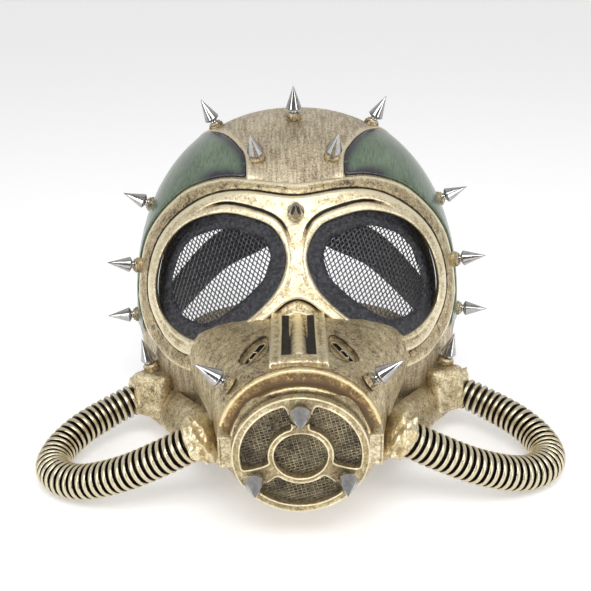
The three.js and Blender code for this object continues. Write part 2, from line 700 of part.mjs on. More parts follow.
function circlePoints(radius, count) {
  return arcPoints(radius, 0, 2 * Math.PI, count).slice(0, count);
}

/** A kidney window between two spokes of the cap. */
function kidneyWindow(from, to) {
  const slack = (radius) => Math.asin(capSpokeHalfWidth / radius);
  const [outer, inner] = [capOuterWindowRadius, capWebRadius];
  return new THREE.Path([
    ...arcPoints(outer, from + slack(outer), to - slack(outer), 8),
    ...arcPoints(inner, to - slack(inner), from + slack(inner), 5),
  ]);
}

function filterCap() {
  const shape = new THREE.Shape(circlePoints(capRadius - capBevel, 32));
  shape.holes.push(new THREE.Path(circlePoints(capWindowRadius + capBevel, 16)));
  const third = (2 * Math.PI) / 3;
  for (let i = 0; i < 3; i += 1) {
    const spoke = Math.PI / 2 + i * third;
    shape.holes.push(kidneyWindow(spoke, spoke + third));
  }
  const depth = capThickness - 2 * capBevel;
  const geometry = new THREE.ExtrudeGeometry(shape, {
    depth, bevelThickness: capBevel, bevelSize: capBevel, bevelSegments: 1, steps: 1,
  });
  return inMuzzle(geometry.rotateX(Math.PI / 2).translate(0, depth + capBevel, 0));
}

function filterMesh() {
  const front = capThickness + fitGap;
  const radius = filterBoreRadius - muzzleWall + 1;
  const disc = new THREE.CylinderGeometry(radius, radius, filterMeshThickness, 40);
  const plate = inMuzzle(disc.translate(0, front + filterMeshThickness / 2, 0));
  const cells = [];
  const size = filterMeshPitch - filterMeshWire;
  const steps = Math.ceil(radius / filterMeshPitch);
  for (let row = -steps; row <= steps; row += 1) {
    for (let column = -steps; column <= steps; column += 1) {
      const [x, z] = [column * filterMeshPitch, row * filterMeshPitch];
      if (Math.hypot(x, z) + size > radius) continue;
      cells.push(inMuzzle(box(size, capThickness, size, x, front, z)));
    }
  }
  return plate.subtract(joined(cells));
}

// Hoses, strap and spikes

function hose(side) {
  const curve = hoseCurve(side);
  const ribs = Math.round(curve.getLength() / hoseRibPitch);
  const frames = curve.computeFrenetFrames(2 * ribs, false);
  const rings = [];
  for (let i = 0; i <= 2 * ribs; i += 1) {
    const centre = curve.getPointAt(i / (2 * ribs));
    const radius = i % 2 === 0 ? hoseRadius - hoseGroove : hoseRadius;
    rings.push(Array.from({ length: hoseSides }, (_, k) => {
      const angle = (k / hoseSides) * 2 * Math.PI;
      return centre.clone().addScaledVector(frames.normals[i], radius * Math.cos(angle))
        .addScaledVector(frames.binormals[i], radius * Math.sin(angle));
    }));
  }
  return loft(rings);
}

function headStrap() {
  const right = strapRoute.map((row) => new THREE.Vector3(row.x, row.y, row.z));
  const left = right.slice(1).reverse().map((point) => new THREE.Vector3(-point.x, point.y, point.z));
  const curve = new THREE.CatmullRomCurve3([...left, ...right]);
  const steps = 36;
  const rings = [];
  for (let i = 0; i <= steps; i += 1) {
    const centre = curve.getPointAt(i / steps);
    const along = curve.getTangentAt(i / steps);
    const out = new THREE.Vector3(centre.x / domeHalfWidth, centre.y / domeHalfDepth, 0).normalize();
    const wide = new THREE.Vector3().crossVectors(along, out).normalize();
    const thick = new THREE.Vector3().crossVectors(wide, along).normalize();
    rings.push([[-1, -1], [1, -1], [1, 1], [-1, 1]].map(([across, deep]) => centre.clone()
      .addScaledVector(wide, across * strapWidth / 2).addScaledVector(thick, deep * strapThickness / 2)));
  }
  return loft(rings);
}

function spike(radius, length) {
  const profile = spikeProfile.map((row) => new THREE.Vector2(row.out * radius, row.up * length));
  return new THREE.LatheGeometry(profile, spikeSides);
}

function standSpike(group, name, geometry, base, direction) {
  const turn = new THREE.Quaternion().setFromUnitVectors(new THREE.Vector3(0, 1, 0), direction);
  addPiece(group, name, geometry, chrome);
  const mesh = group.children[group.children.length - 1];
  mesh.quaternion.copy(turn);
  mesh.position.copy(base);
}

function addSpikes(group) {
  for (const { name, base, direction } of spikePlaces()) {
    const seat = base.clone().addScaledVector(direction, bossHeight + fitGap);
    standSpike(group, name, spike(spikeRadius, spikeLength), seat, direction);
  }
  const forward = new THREE.Vector3(0, -1, 0).transformDirection(muzzleTurn);
  const names = ["spike_cap_top", "spike_cap_left", "spike_cap_right"];
  names.forEach((name, i) => {
    const angle = Math.PI / 2 + (i * 2 * Math.PI) / 3;
    const base = new THREE.Vector3(Math.cos(angle) * capSpikeRing, -fitGap, Math.sin(angle) * capSpikeRing);
    standSpike(group, name, spike(capConeRadius, capConeLength), base.applyMatrix4(muzzleTurn), forward);
  });
}

// Assembly

function buildMask() {
  const mask = new THREE.Group();
  addPiece(mask, "mask_shell", maskShell(), gold);
  addPiece(mask, "filter_cap", filterCap(), gold);
  addPiece(mask, "filter_mesh", filterMesh(), wire);
  for (const side of [-1, 1]) {
    addPiece(mask, `temple_panel${sideName(side)}`, templePanel(side), green);
    addPiece(mask, `eye_gasket${sideName(side)}`, eyeGasket(side), black);
    addPiece(mask, `eye_mesh${sideName(side)}`, eyeMesh(side), wire);
    addPiece(mask, `hose${sideName(side)}`, hose(side), hoseMetal);
  }
  addPiece(mask, "head_strap", headStrap(), elastic);
  addSpikes(mask);
  mask.rotation.x = -restLean;
  return mask;
}

/** Stands the mask on z = 0 with the zero under the middle of its outer box. */
function restOnFloor(mask) {
  const holder = new THREE.Group();
  holder.add(mask);
  holder.updateMatrixWorld(true);
  const middle = new THREE.Box3().setFromObject(holder, true).getCenter(new THREE.Vector3());
  mask.position.set(-middle.x, -middle.y, restDrop);
  return holder;
}

export default restOnFloor(buildMask());
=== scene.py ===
"""Looks of a gas mask style costume mask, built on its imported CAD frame.

The pieces repeat the CAD part's forms at a fine resolution. Forms are laid out in the face frame of
the CAD source, in millimetres: zero at the middle of the eyes, +X to the viewer's right, +Y back, +Z
up. settle() stands a finished mesh in the row frame, in metres, with its object at the origin.
"""
import logging
import math
from dataclasses import dataclass, field
from enum import Enum
from typing import Callable, Sequence

import bmesh
import bpy
import numpy as np
from mathutils import Matrix, Vector, geometry, noise


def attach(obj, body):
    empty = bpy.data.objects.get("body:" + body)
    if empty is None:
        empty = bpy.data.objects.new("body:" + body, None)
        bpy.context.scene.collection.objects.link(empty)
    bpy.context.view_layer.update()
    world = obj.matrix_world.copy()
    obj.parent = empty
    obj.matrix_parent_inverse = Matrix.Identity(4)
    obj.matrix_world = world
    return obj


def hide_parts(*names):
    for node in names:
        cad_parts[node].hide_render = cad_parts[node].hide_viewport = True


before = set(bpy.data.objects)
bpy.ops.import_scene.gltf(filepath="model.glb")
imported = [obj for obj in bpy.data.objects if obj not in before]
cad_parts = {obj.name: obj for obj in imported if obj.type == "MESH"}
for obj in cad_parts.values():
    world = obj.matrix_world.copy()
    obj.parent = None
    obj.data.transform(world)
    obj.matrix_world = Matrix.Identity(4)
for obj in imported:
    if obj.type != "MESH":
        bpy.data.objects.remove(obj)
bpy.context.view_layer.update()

logging.basicConfig(level=logging.INFO, format="%(message)s")
log = logging.getLogger("mask")

Points = np.ndarray
MM = 0.001
REST_LEAN = math.radians(12.8)
REST_SHIFT = 60.2
REST_DROP = 88.0
FACE_TO_ROW = (Matrix.Scale(MM, 4) @ Matrix.Translation((0, REST_SHIFT, REST_DROP))
               @ Matrix.Rotation(-REST_LEAN, 4, "X"))


class Side(Enum):
    """A side of the mask as someone who looks at its front sees it."""

    LEFT = -1
    RIGHT = 1

    @property
    def word(self) -> str:
        """The side's ending in piece and node names."""
        return self.name.lower()


# Meshes

class Skin:
    """Collects the corners and faces of one piece, with a value of rubbed paint and painted shade for each corner.

    The value runs from 0 in a recess to 1 on a ridge. The gold finish reads it as paint rubbed pale on ridges, and as
    painted shade, near black, in the deepest recesses.
    """

    def __init__(self) -> None:
        """Starts an empty skin."""
        self.points: list[Sequence[float]] = []
        self.wear_and_shade: list[float] = []
        self.faces: list[tuple[int, ...]] = []

    def ring(self, points: Points, wear_and_shade: float | Sequence[float] = 0.5) -> list[int]:
        """Adds a row of corners.

        Args:
            points: the corners' places, in face millimetres.
            wear_and_shade: one value for the row, or one for each corner.

        Returns:
            The corners' numbers.
        """
        start = len(self.points)
        self.points.extend(points.tolist())
        self.wear_and_shade.extend([wear_and_shade] * len(points) if np.isscalar(wear_and_shade) else list(wear_and_shade))
        return list(range(start, start + len(points)))

    def band(self, low: list[int], high: list[int], closed: bool = True) -> None:
        """Joins two rows of as many corners with four-sided faces.

        Args:
            low: the first row.
            high: the second row.
            closed: whether the rows close on themselves.
        """
        count = len(low)
        for i in range(count if closed else count - 1):
            j = (i + 1) % count
            self.faces.append((low[i], low[j], high[j], high[i]))

    def cap(self, ring: list[int]) -> None:
        """Closes a row of corners with faces round its middle."""
        middle = np.mean([self.points[i] for i in ring], axis=0)
        centre = self.ring(middle[None, :], self.wear_and_shade[ring[0]])[0]
        for i, corner in enumerate(ring):
            self.faces.append((corner, ring[(i + 1) % len(ring)], centre))

    def loft(self, rings: Sequence[Points], wear_and_shade: Sequence[float | Sequence[float]] | None = None,
             capped: bool = True) -> None:
        """Skins a row of closed sections.

        Args:
            rings: the sections, each with as many corners.
            wear_and_shade: one wear for each section.
            capped: whether the first and last sections are closed.
        """
        rows = [self.ring(points, 0.5 if wear_and_shade is None else wear_and_shade[i]) for i, points in enumerate(rings)]
        for low, high in zip(rows, rows[1:]):
            self.band(low, high)
        if capped:
            self.cap(rows[0])
            self.cap(rows[-1])

    def fill(self, loops: list[list[int]], flats: list[Points], spacing: float,
             place: Callable[[Points], Points], wear_and_shade: float = 0.5) -> None:
        """Fills the room inside a loop, and outside any holes in it, with small triangles.

        Args:
            loops: the corners' numbers of the outer loop and of each hole.
            flats: the same corners in the flat drawing.
            spacing: the rough length of a triangle's side.
            place: gives the places of points of the flat drawing.
            wear_and_shade: the wear of the new corners.
        """
        outer = flats[0]
        low, high = outer.min(axis=0), outer.max(axis=0)
        columns, rows = np.meshgrid(np.arange(low[0], high[0], spacing),
                                    np.arange(low[1], high[1], spacing * 0.866))
        columns = columns + (np.arange(columns.shape[0]) % 2)[:, None] * spacing / 2
        grid = np.stack([columns.ravel(), rows.ravel()], axis=1)
        keep = inside(grid, outer)
        for hole in flats[1:]:
            keep &= ~inside(grid, hole)
        for loop in flats:
            keep &= distance_to(grid, loop) > spacing * 0.55
        grid = grid[keep]
        corners = [i for loop in loops for i in loop] + self.ring(place(grid), wear_and_shade)
        flat = np.concatenate([*flats, grid])
        edges, start = [], 0
        for loop in flats:
            count = len(loop)
            edges += [(start + i, start + (i + 1) % count) for i in range(count)]
            start += count
        found = geometry.delaunay_2d_cdt([Vector(p) for p in flat], edges, [], 0, 1e-6)
        origin = [group[0] if group else -1 for group in found[3]]
        triangles = np.array([face for face in found[2]])
        spots = np.array([tuple(v) for v in found[0]])
        middles = spots[triangles].mean(axis=1)
        keep = inside(middles, outer)
        for hole in flats[1:]:
            keep &= ~inside(middles, hole)
        for face in triangles[keep]:
            numbers = [origin[i] for i in face]
            if min(numbers) >= 0:
                self.faces.append(tuple(corners[i] for i in numbers))

    def build(self, name: str, angle: float = 40) -> bpy.types.Object:
        """Makes the mesh object, with its faces pointing out.

        Args:
            name: the object's name.
            angle: edges sharper than this many degrees stay sharp.

        Returns:
            The object, settled in the row frame.
        """
        mesh = bpy.data.meshes.new(name)
        mesh.from_pydata(self.points, [], self.faces)
        mesh.attributes.new("wear_and_shade", "FLOAT", "POINT").data.foreach_set("value", self.wear_and_shade)
        piece = bpy.data.objects.new(name, mesh)
        bpy.context.collection.objects.link(piece)
        return finished(piece, angle)


def only(piece: bpy.types.Object) -> bpy.types.Object:
    """Makes the piece the one selected and active object, and returns it."""
    bpy.ops.object.select_all(action="DESELECT")
    piece.select_set(True)
    bpy.context.view_layer.objects.active = piece
    return piece


def finished(piece: bpy.types.Object, angle: float, to_row: bool = True) -> bpy.types.Object:
    """Merges doubled corners, points the faces out, shades by angle and settles the piece.

    Args:
        piece: the mesh object.
        angle: edges sharper than this many degrees stay sharp.
        to_row: whether the mesh is in face millimetres and is stood in the row frame.

    Returns:
        The piece.
    """
    only(piece)
    bpy.ops.object.mode_set(mode="EDIT")
    bpy.ops.mesh.select_all(action="SELECT")
    bpy.ops.mesh.remove_doubles(threshold=1e-4 if to_row else 1e-7)
    bpy.ops.mesh.normals_make_consistent(inside=False)
    bpy.ops.object.mode_set(mode="OBJECT")
    if to_row:
        settle(piece)
    bpy.ops.object.shade_smooth_by_angle(angle=math.radians(angle))
    return piece


def settle(piece: bpy.types.Object) -> None:
    """Stands a mesh in the row frame with its object at the origin."""
    piece.data.transform(FACE_TO_ROW @ piece.matrix_world)
    piece.matrix_world = Matrix.Identity(4)


def with_wear_and_shade(piece: bpy.types.Object, value: float = 0.5) -> bpy.types.Object:
    """Gives a mesh that has no wear one even value, and returns the piece."""
    if "wear_and_shade" not in piece.data.attributes:
        wear_and_shade = piece.data.attributes.new("wear_and_shade", "FLOAT", "POINT")
        wear_and_shade.data.foreach_set("value", [value] * len(piece.data.vertices))
    return piece


def apply_all(piece: bpy.types.Object) -> None:
    """Applies every modifier of the piece, in order."""
    only(piece)
    for modifier in list(piece.modifiers):
        bpy.ops.object.modifier_apply(modifier=modifier.name)


def cut(piece: bpy.types.Object, cutter: bpy.types.Object) -> None:
    """Takes a cutter's room out of the piece and removes the cutter."""
    boolean = piece.modifiers.new("cut", "BOOLEAN")
    boolean.operation, boolean.solver, boolean.object = "DIFFERENCE", "EXACT", cutter
    apply_all(piece)
    bpy.data.objects.remove(cutter, do_unlink=True)


# Curves and outlines

def inside(points: Points, loop: Points) -> np.ndarray:
    """Tells which flat points lie inside a closed loop."""
    found = np.zeros(len(points), bool)
    for a, b in zip(loop, np.roll(loop, -1, axis=0)):
        if a[1] == b[1]:
            continue
        spans = (a[1] > points[:, 1]) != (b[1] > points[:, 1])
        found ^= spans & (points[:, 0] < a[0] + (points[:, 1] - a[1]) * (b[0] - a[0]) / (b[1] - a[1]))
    return found


def distance_to(points: Points, loop: Points) -> np.ndarray:
    """Gives each flat point's distance from a closed loop."""
    best = np.full(len(points), np.inf)
    for a, b in zip(loop, np.roll(loop, -1, axis=0)):
        along = b - a
        share = np.clip(((points - a) @ along) / max(along @ along, 1e-12), 0, 1)
        best = np.minimum(best, np.linalg.norm(points - a - share[:, None] * along, axis=1))
    return best


def smooth_curve(points: Points, count: int, closed: bool = False) -> Points:
    """Runs an evenly spaced smooth curve through points.

    Args:
        points: the points that it passes.
        count: how many points it gives back.
        closed: whether it closes on itself, in which case its start isn't repeated.

    Returns:
        The curve's points.
    """
    points = np.asarray(points, float)
    spans = len(points) if closed else len(points) - 1
    pieces = []
    for i in range(spans):
        if closed:
            a, b, c, d = (points[(i + k) % len(points)] for k in (-1, 0, 1, 2))
        else:
            b, c = points[i], points[i + 1]
            a = points[i - 1] if i > 0 else 2 * b - c
            d = points[i + 2] if i + 2 < len(points) else 2 * c - b
        steps = [max(float(np.linalg.norm(q - p)) ** 0.5, 1e-4) for p, q in ((a, b), (b, c), (c, d))]
        leave = ((b - a) / steps[0] - (c - a) / (steps[0] + steps[1]) + (c - b) / steps[1]) * steps[1]
        reach = ((c - b) / steps[1] - (d - b) / (steps[1] + steps[2]) + (d - c) / steps[2]) * steps[1]
        t = np.linspace(0, 1, 40, endpoint=False)[:, None]
        pieces.append(b + leave * t + (-3 * b + 3 * c - 2 * leave - reach) * t ** 2
                      + (2 * b - 2 * c + leave + reach) * t ** 3)
    line = np.concatenate([*pieces, points[:1] if closed else points[-1:]])
    return evenly(line, count + 1)[:-1] if closed else evenly(line, count)


def evenly(line: Points, count: int) -> Points:
    """Gives count points at even steps along a line of points, from its start to its end."""
    lengths = np.concatenate([[0], np.cumsum(np.linalg.norm(np.diff(line, axis=0), axis=1))])
    spots = np.linspace(0, lengths[-1], count)
    return np.stack([np.interp(spots, lengths, line[:, k]) for k in range(line.shape[1])], axis=1)


def through(rows: Sequence[float], values: Sequence[float], at: np.ndarray) -> np.ndarray:
    """Reads a smooth line through a table that never swings past its rows.

    Args:
        rows: the table's places, rising.
        values: its values.
        at: where the line is read.

    Returns:
        The line's values.
    """
    x, y = np.asarray(rows, float), np.asarray(values, float)
    slopes = np.diff(y) / np.diff(x)
    tilt = np.concatenate([[slopes[0]], (slopes[1:] + slopes[:-1]) / 2, [slopes[-1]]])
    tilt[1:-1][slopes[1:] * slopes[:-1] <= 0] = 0
    limit = 3 * np.minimum(np.abs(np.append(slopes, slopes[-1])), np.abs(np.insert(slopes, 0, slopes[0])))
    tilt = np.sign(tilt) * np.minimum(np.abs(tilt), limit)
    i = np.clip(np.searchsorted(x, at) - 1, 0, len(x) - 2)
    h = x[i + 1] - x[i]
    t = (at - x[i]) / h
    return ((2 * t ** 3 - 3 * t ** 2 + 1) * y[i] + (t ** 3 - 2 * t ** 2 + t) * h * tilt[i]
            + (3 * t ** 2 - 2 * t ** 3) * y[i + 1] + (t ** 3 - t ** 2) * h * tilt[i + 1])


def grown(outline: Points, distance: float | np.ndarray) -> Points:
    """Moves a closed flat outline outwards, or inwards by a negative distance."""
    along = np.roll(outline, -1, axis=0) - np.roll(outline, 1, axis=0)
    along /= np.maximum(np.linalg.norm(along, axis=1, keepdims=True), 1e-9)
    shoelace = np.sum(outline[:, 0] * np.roll(outline[:, 1], -1) - np.roll(outline[:, 0], -1) * outline[:, 1])
    out = np.stack([along[:, 1], -along[:, 0]], axis=1) * (1 if shoelace > 0 else -1)
    return outline + out * np.reshape(distance, (-1, 1) if np.ndim(distance) else (1, 1))


def rounded(outline: Points, rounds: int) -> Points:
    """Cuts the corners of a closed flat outline, again and again."""
    for _ in range(rounds):
        after = np.roll(outline, -1, axis=0)
        outline = np.stack([0.75 * outline + 0.25 * after, 0.25 * outline + 0.75 * after],
                           axis=1).reshape(-1, 2)
    return outline


def unit(vector: Points) -> Points:
    """Scales vectors to a length of one."""
    return vector / np.maximum(np.linalg.norm(vector, axis=-1, keepdims=True), 1e-12)


# The mask's forms

@dataclass(frozen=True)
class Dome:
    """The boxy ball that the shell is part of."""

    centre_z: float = -30.0
    half_width: float = 96.5
    half_depth: float = 94.0
    half_height: float = 116.0
    roundness: float = 2.2

    def point(self, direction: Points, offset: float | np.ndarray = 0.0) -> Points:
        """Gives the surface's points along directions from its centre."""
        halves = self.halves(offset)
        size = np.sum(np.abs(direction / halves) ** self.roundness, axis=-1, keepdims=True)
        return direction * size ** (-1 / self.roundness) + np.array([0, 0, self.centre_z])

    def halves(self, offset: float | np.ndarray) -> Points:
        """Gives the half axes grown by an offset."""
        base = np.array([self.half_width, self.half_depth, self.half_height])
        return base + np.reshape(offset, (-1, 1)) if np.ndim(offset) else base + offset

    def normal(self, points: Points) -> Points:
        """Gives the outward directions at points of the surface."""
        halves = self.halves(0.0)
        local = points - np.array([0, 0, self.centre_z])
        return unit(np.sign(local) * np.abs(local / halves) ** (self.roundness - 1) / halves)

    def front(self, x: np.ndarray, z: np.ndarray, offset: float) -> np.ndarray:
        """Gives the front's place back at points of the front view."""
        a, b, c = self.halves(offset)
        room = 1 - np.abs(x / a) ** self.roundness - np.abs((z - self.centre_z) / c) ** self.roundness
        return -b * np.maximum(room, 0) ** (1 / self.roundness)

    def height(self, x: np.ndarray, y: np.ndarray, offset: float = 0.0) -> np.ndarray:
        """Gives the top's height at points seen from above."""
        a, b, c = self.halves(offset)
        room = 1 - np.abs(x / a) ** self.roundness - np.abs(y / b) ** self.roundness
        return self.centre_z + c * np.maximum(room, 0) ** (1 / self.roundness)


@dataclass(frozen=True)
class Visor:
    """The leaning barrel that the goggles' front follows."""

    radius: float = 89.5
    lean: float = math.radians(23.4)
    axis_y: float = -12.5
    axis_z: float = -25.0
    heights: tuple[float, ...] = (-95, -62, -45, -28, 0, 60)
    shares: tuple[float, ...] = (0.9, 0.967, 0.99, 1, 1, 1)

    def front(self, x: np.ndarray, z: np.ndarray, offset: float) -> np.ndarray:
        """Gives the front's place back at points of the front view."""
        cos, sin = math.cos(self.lean), math.sin(self.lean)
        up = z - self.axis_z
        y = np.full(x.shape, self.axis_y - self.radius)
        for _ in range(8):
            height = (y - self.axis_y) * sin + up * cos
            radius = through(self.heights, self.shares, np.clip(height, -95, 60)) * self.radius + offset
            depth = np.sqrt(np.maximum(radius ** 2 - x ** 2, 0))
            y = self.axis_y + (up * sin - depth) / cos
        return y + np.where(radius > np.abs(x), 0, 60)


DOME = Dome()
VISOR = Visor()


@dataclass(frozen=True)
class Goggles:
    """Outlines and front faces of the goggle frame, drawn in the front view."""

    half_width: float = 92.0
    half_height: float = 50.5
    centre_z: float = -5.5
    low_drop: float = 3.2
    high_proud: float = 4.2
    low_proud: float = 2.0
    eye_x: float = 41.6
    eye_z: float = -6.0
    eye_half_width: float = 36.2
    eye_half_height: float = 32.7
    edge_rows: tuple[tuple[float, float], ...] = (
        (0, 0.937), (0.283, 0.99), (0.411, 1), (0.533, 0.96), (0.652, 0.88), (0.761, 0.733),
        (0.859, 0.554), (0.94, 0.327), (0.995, -0.065), (1, -0.406), (0.935, -0.713), (0.804, -0.921),
        (0.63, -1), (0.505, -0.98), (0.315, -0.782), (0.16, -0.594), (0.07, -0.426), (0, -0.378))
    band_rows: tuple[tuple[float, float], ...] = (
        (0, 0.806), (0.283, 0.867), (0.435, 0.851), (0.565, 0.772), (0.726, 0.576), (0.837, 0.325),
        (0.904, -0.02), (0.902, -0.347), (0.815, -0.653), (0.723, -0.776), (0.628, -0.822),
        (0.478, -0.758), (0.315, -0.608), (0.148, -0.376), (0.063, -0.253), (0, -0.218))
    eye_rows: tuple[tuple[float, float], ...] = (
        (-0.06, 1), (0.48, 0.82), (0.84, 0.4), (1, -0.28), (0.89, -0.68), (0.51, -0.96), (0.14, -0.99),
        (-0.24, -0.78), (-0.64, -0.44), (-0.89, -0.11), (-1, 0.34), (-0.82, 0.76), (-0.45, 0.94))

    def mirrored(self, rows: tuple[tuple[float, float], ...], count: int) -> Points:
        """Gives the closed outline through a right half and its mirror image."""
        right = np.array(rows) * [self.half_width, self.half_height] + [0, self.centre_z]
        left = right[1:-1][::-1] * [-1, 1]
        return smooth_curve(np.concatenate([right, left]), count, closed=True)

    def eye(self, side: Side, grow: float, count: int) -> Points:
        """Gives an eye opening's outline, grown by a distance."""
        rows = np.array(self.eye_rows) * [self.eye_half_width, self.eye_half_height]
        rows = (rows + [self.eye_x, self.eye_z]) * [side.value, 1]
        return grown(smooth_curve(rows, count, closed=True), grow)

    def low(self, flat: Points, lift: float = 0.0) -> Points:
        """Puts flat points on the outer band's face."""
        return self.on_face(flat, lift - self.low_drop, lift + self.low_proud)

    def high(self, flat: Points, lift: float = 0.0) -> Points:
        """Puts flat points on the bright band's face."""
        return self.on_face(flat, lift, lift + self.high_proud)

    def on_face(self, flat: Points, visor: float, dome: float) -> Points:
        """Puts flat points on the front of the visor and the dome, blended where they meet."""
        x, z = flat[:, 0], flat[:, 1]
        a, b = VISOR.front(x, z, visor), DOME.front(x, z, dome)
        blend = np.clip(0.5 + (b - a) / 6, 0, 1)
        y = b * (1 - blend) + a * blend - 3 * blend * (1 - blend)
        return np.stack([x, y, z], axis=1)


GOGGLES = Goggles()


@dataclass(frozen=True)
class MuzzleForm:
    """The drooping drum under the nose, as sections along its axis."""

    centre_y: float = -171.6
    centre_z: float = -77.7
    droop: float = math.radians(18.3)
    half_width: float = 43.0
    rise: float = 33.0
    drop: float = 43.0
    length: float = 110.0
    roundness: float = 2.3
    front: float = 5.5
    backs: tuple[float, ...] = (0.045, 0.109, 0.155, 0.2, 0.364, 0.545, 0.773, 1)
    widths: tuple[float, ...] = (0.72, 0.76, 0.85, 0.907, 1, 1.14, 1.35, 1.5)
    rises: tuple[float, ...] = (0.94, 0.985, 1.08, 1.07, 1, 0.94, 0.88, 0.72)
    drops: tuple[float, ...] = (0.72, 0.8, 0.9, 0.953, 1, 1.02, 1.04, 1.04)

    def out(self, local: Points) -> Points:
        """Moves points from the muzzle's own frame, whose Y runs back from the cap, to the face frame."""
        cos, sin = math.cos(self.droop), math.sin(self.droop)
        x, y, z = local[:, 0], local[:, 1], local[:, 2]
        return np.stack([x, self.centre_y + y * cos - z * sin, self.centre_z + y * sin + z * cos], axis=1)

    @property
    def matrix(self) -> Matrix:
        """The muzzle's own frame as a matrix."""
        return (Matrix.Translation((0, self.centre_y, self.centre_z)) @ Matrix.Rotation(self.droop, 4, "X"))

    def section(self, back: float, inset: float, count: int) -> Points:
        """Gives one closed section, in the face frame."""
        width, rise, drop = self.read(back)
        angle = np.linspace(0, 2 * math.pi, count, endpoint=False)
        bend = lambda value: np.sign(value) * np.abs(value) ** (2 / self.roundness)
        tall = np.where(np.sin(angle) > 0, rise, drop) - inset
        return self.out(np.stack(
            [bend(np.cos(angle)) * (width - inset), np.full(count, back), bend(np.sin(angle)) * tall], axis=1))

    def read(self, back: float) -> tuple[float, float, float]:
        """Gives the half width, rise and drop at a distance back from the cap."""
        share = np.array([back / self.length])
        columns = (self.widths, self.rises, self.drops)
        scales = (self.half_width, self.rise, self.drop)
        return tuple(float(through(self.backs, c, share)[0]) * s for c, s in zip(columns, scales))

    def top(self, across: float, back: float) -> float:
        """Gives the top's height at a place across and back."""
        width, rise, _ = self.read(back)
        return rise * max(1 - abs(across / width) ** self.roundness, 0) ** (1 / self.roundness)


MUZZLE = MuzzleForm()


def aim(azimuth: float, elevation: float) -> Points:
    """Gives a direction from its azimuth from the front and its elevation, in degrees."""
    turn, rise = math.radians(azimuth), math.radians(elevation)
    return np.array([math.cos(rise) * math.sin(turn), -math.cos(rise) * math.cos(turn), math.sin(rise)])


# Finishes

class Shader:
    """A material being built, with short words for its nodes."""

    def __init__(self, name: str) -> None:
        """Starts a material with its main shader."""
        self.material = bpy.data.materials.new(name)
        self.material.use_nodes = True
        self.nodes = self.material.node_tree.nodes
        self.links = self.material.node_tree.links
        self.main = self.nodes["Principled BSDF"]

    def node(self, kind: str, links: dict[str | int, object] | None = None, **values: object) -> bpy.types.Node:
        """Adds a node.

        Args:
            kind: the node's type.
            links: what each input is fed with, an output socket or a value.
            values: the node's own settings.

        Returns:
            The node.
        """
        made = self.nodes.new(kind)
        for key, value in values.items():
            setattr(made, key, value)
        for key, value in (links or {}).items():
            self.feed(made.inputs[key], value)
        return made

    def feed(self, socket: bpy.types.NodeSocket, value: object) -> None:
        """Links an output socket to an input, or sets the input's value."""
        if isinstance(value, bpy.types.NodeSocket):
            self.links.new(value, socket)
        else:
            socket.default_value = value

    def place(self, scale: Sequence[float] = (1, 1, 1),
              turn: Sequence[float] = (0, 0, 0)) -> bpy.types.NodeSocket:
        """Gives the object coordinates, turned and scaled."""
        source = self.node("ShaderNodeTexCoord").outputs["Object"]
        return self.node("ShaderNodeMapping", {"Vector": source, "Scale": scale, "Rotation": turn}).outputs[0]

    def grain(self, size_mm: float, detail: float = 4, rough: float = 0.55,
              vector: bpy.types.NodeSocket | None = None) -> bpy.types.NodeSocket:
        """Gives a noise whose features are about size_mm across."""
        return self.node("ShaderNodeTexNoise", {
            "Vector": vector or self.place(), "Scale": 1 / (size_mm * MM), "Detail": detail,
            "Roughness": rough}).outputs[0]

    def read(self, name: str) -> bpy.types.NodeSocket:
        """Gives an attribute of the mesh as a factor."""
        return self.node("ShaderNodeAttribute", attribute_name=name).outputs["Fac"]

    def span(self, value: bpy.types.NodeSocket, low: float, high: float, to_low: float = 0.0,
             to_high: float = 1.0) -> bpy.types.NodeSocket:
        """Stretches a value from one span to another, and keeps it in there."""
        return self.node("ShaderNodeMapRange", {
            "Value": value, "From Min": low, "From Max": high, "To Min": to_low, "To Max": to_high}).outputs[0]

    def maths(self, operation: str, a: object, b: object = 0.0) -> bpy.types.NodeSocket:
        """Gives the result of one arithmetic operation."""
        return self.node("ShaderNodeMath", {0: a, 1: b}, operation=operation).outputs[0]

    def mix(self, factor: object, a: object, b: object) -> bpy.types.NodeSocket:
        """Mixes two colours."""
        made = self.node("ShaderNodeMix", {0: factor, 6: a, 7: b}, data_type="RGBA")
        return made.outputs[2]

    def bump(self, height: bpy.types.NodeSocket, depth_mm: float, strength: float = 1.0) -> None:
        """Lays a height on the main shader's normal."""
        made = self.node("ShaderNodeBump", {"Height": height, "Distance": depth_mm * MM, "Strength": strength})
        self.links.new(made.outputs[0], self.main.inputs["Normal"])

    def set(self, **values: object) -> None:
        """Sets or links sockets of the main shader, named with _ for each space."""
        for key, value in values.items():
            self.feed(self.main.inputs[key.replace("_", " ").title().replace("Ior", "IOR")], value)


Colour = tuple[float, float, float, float]


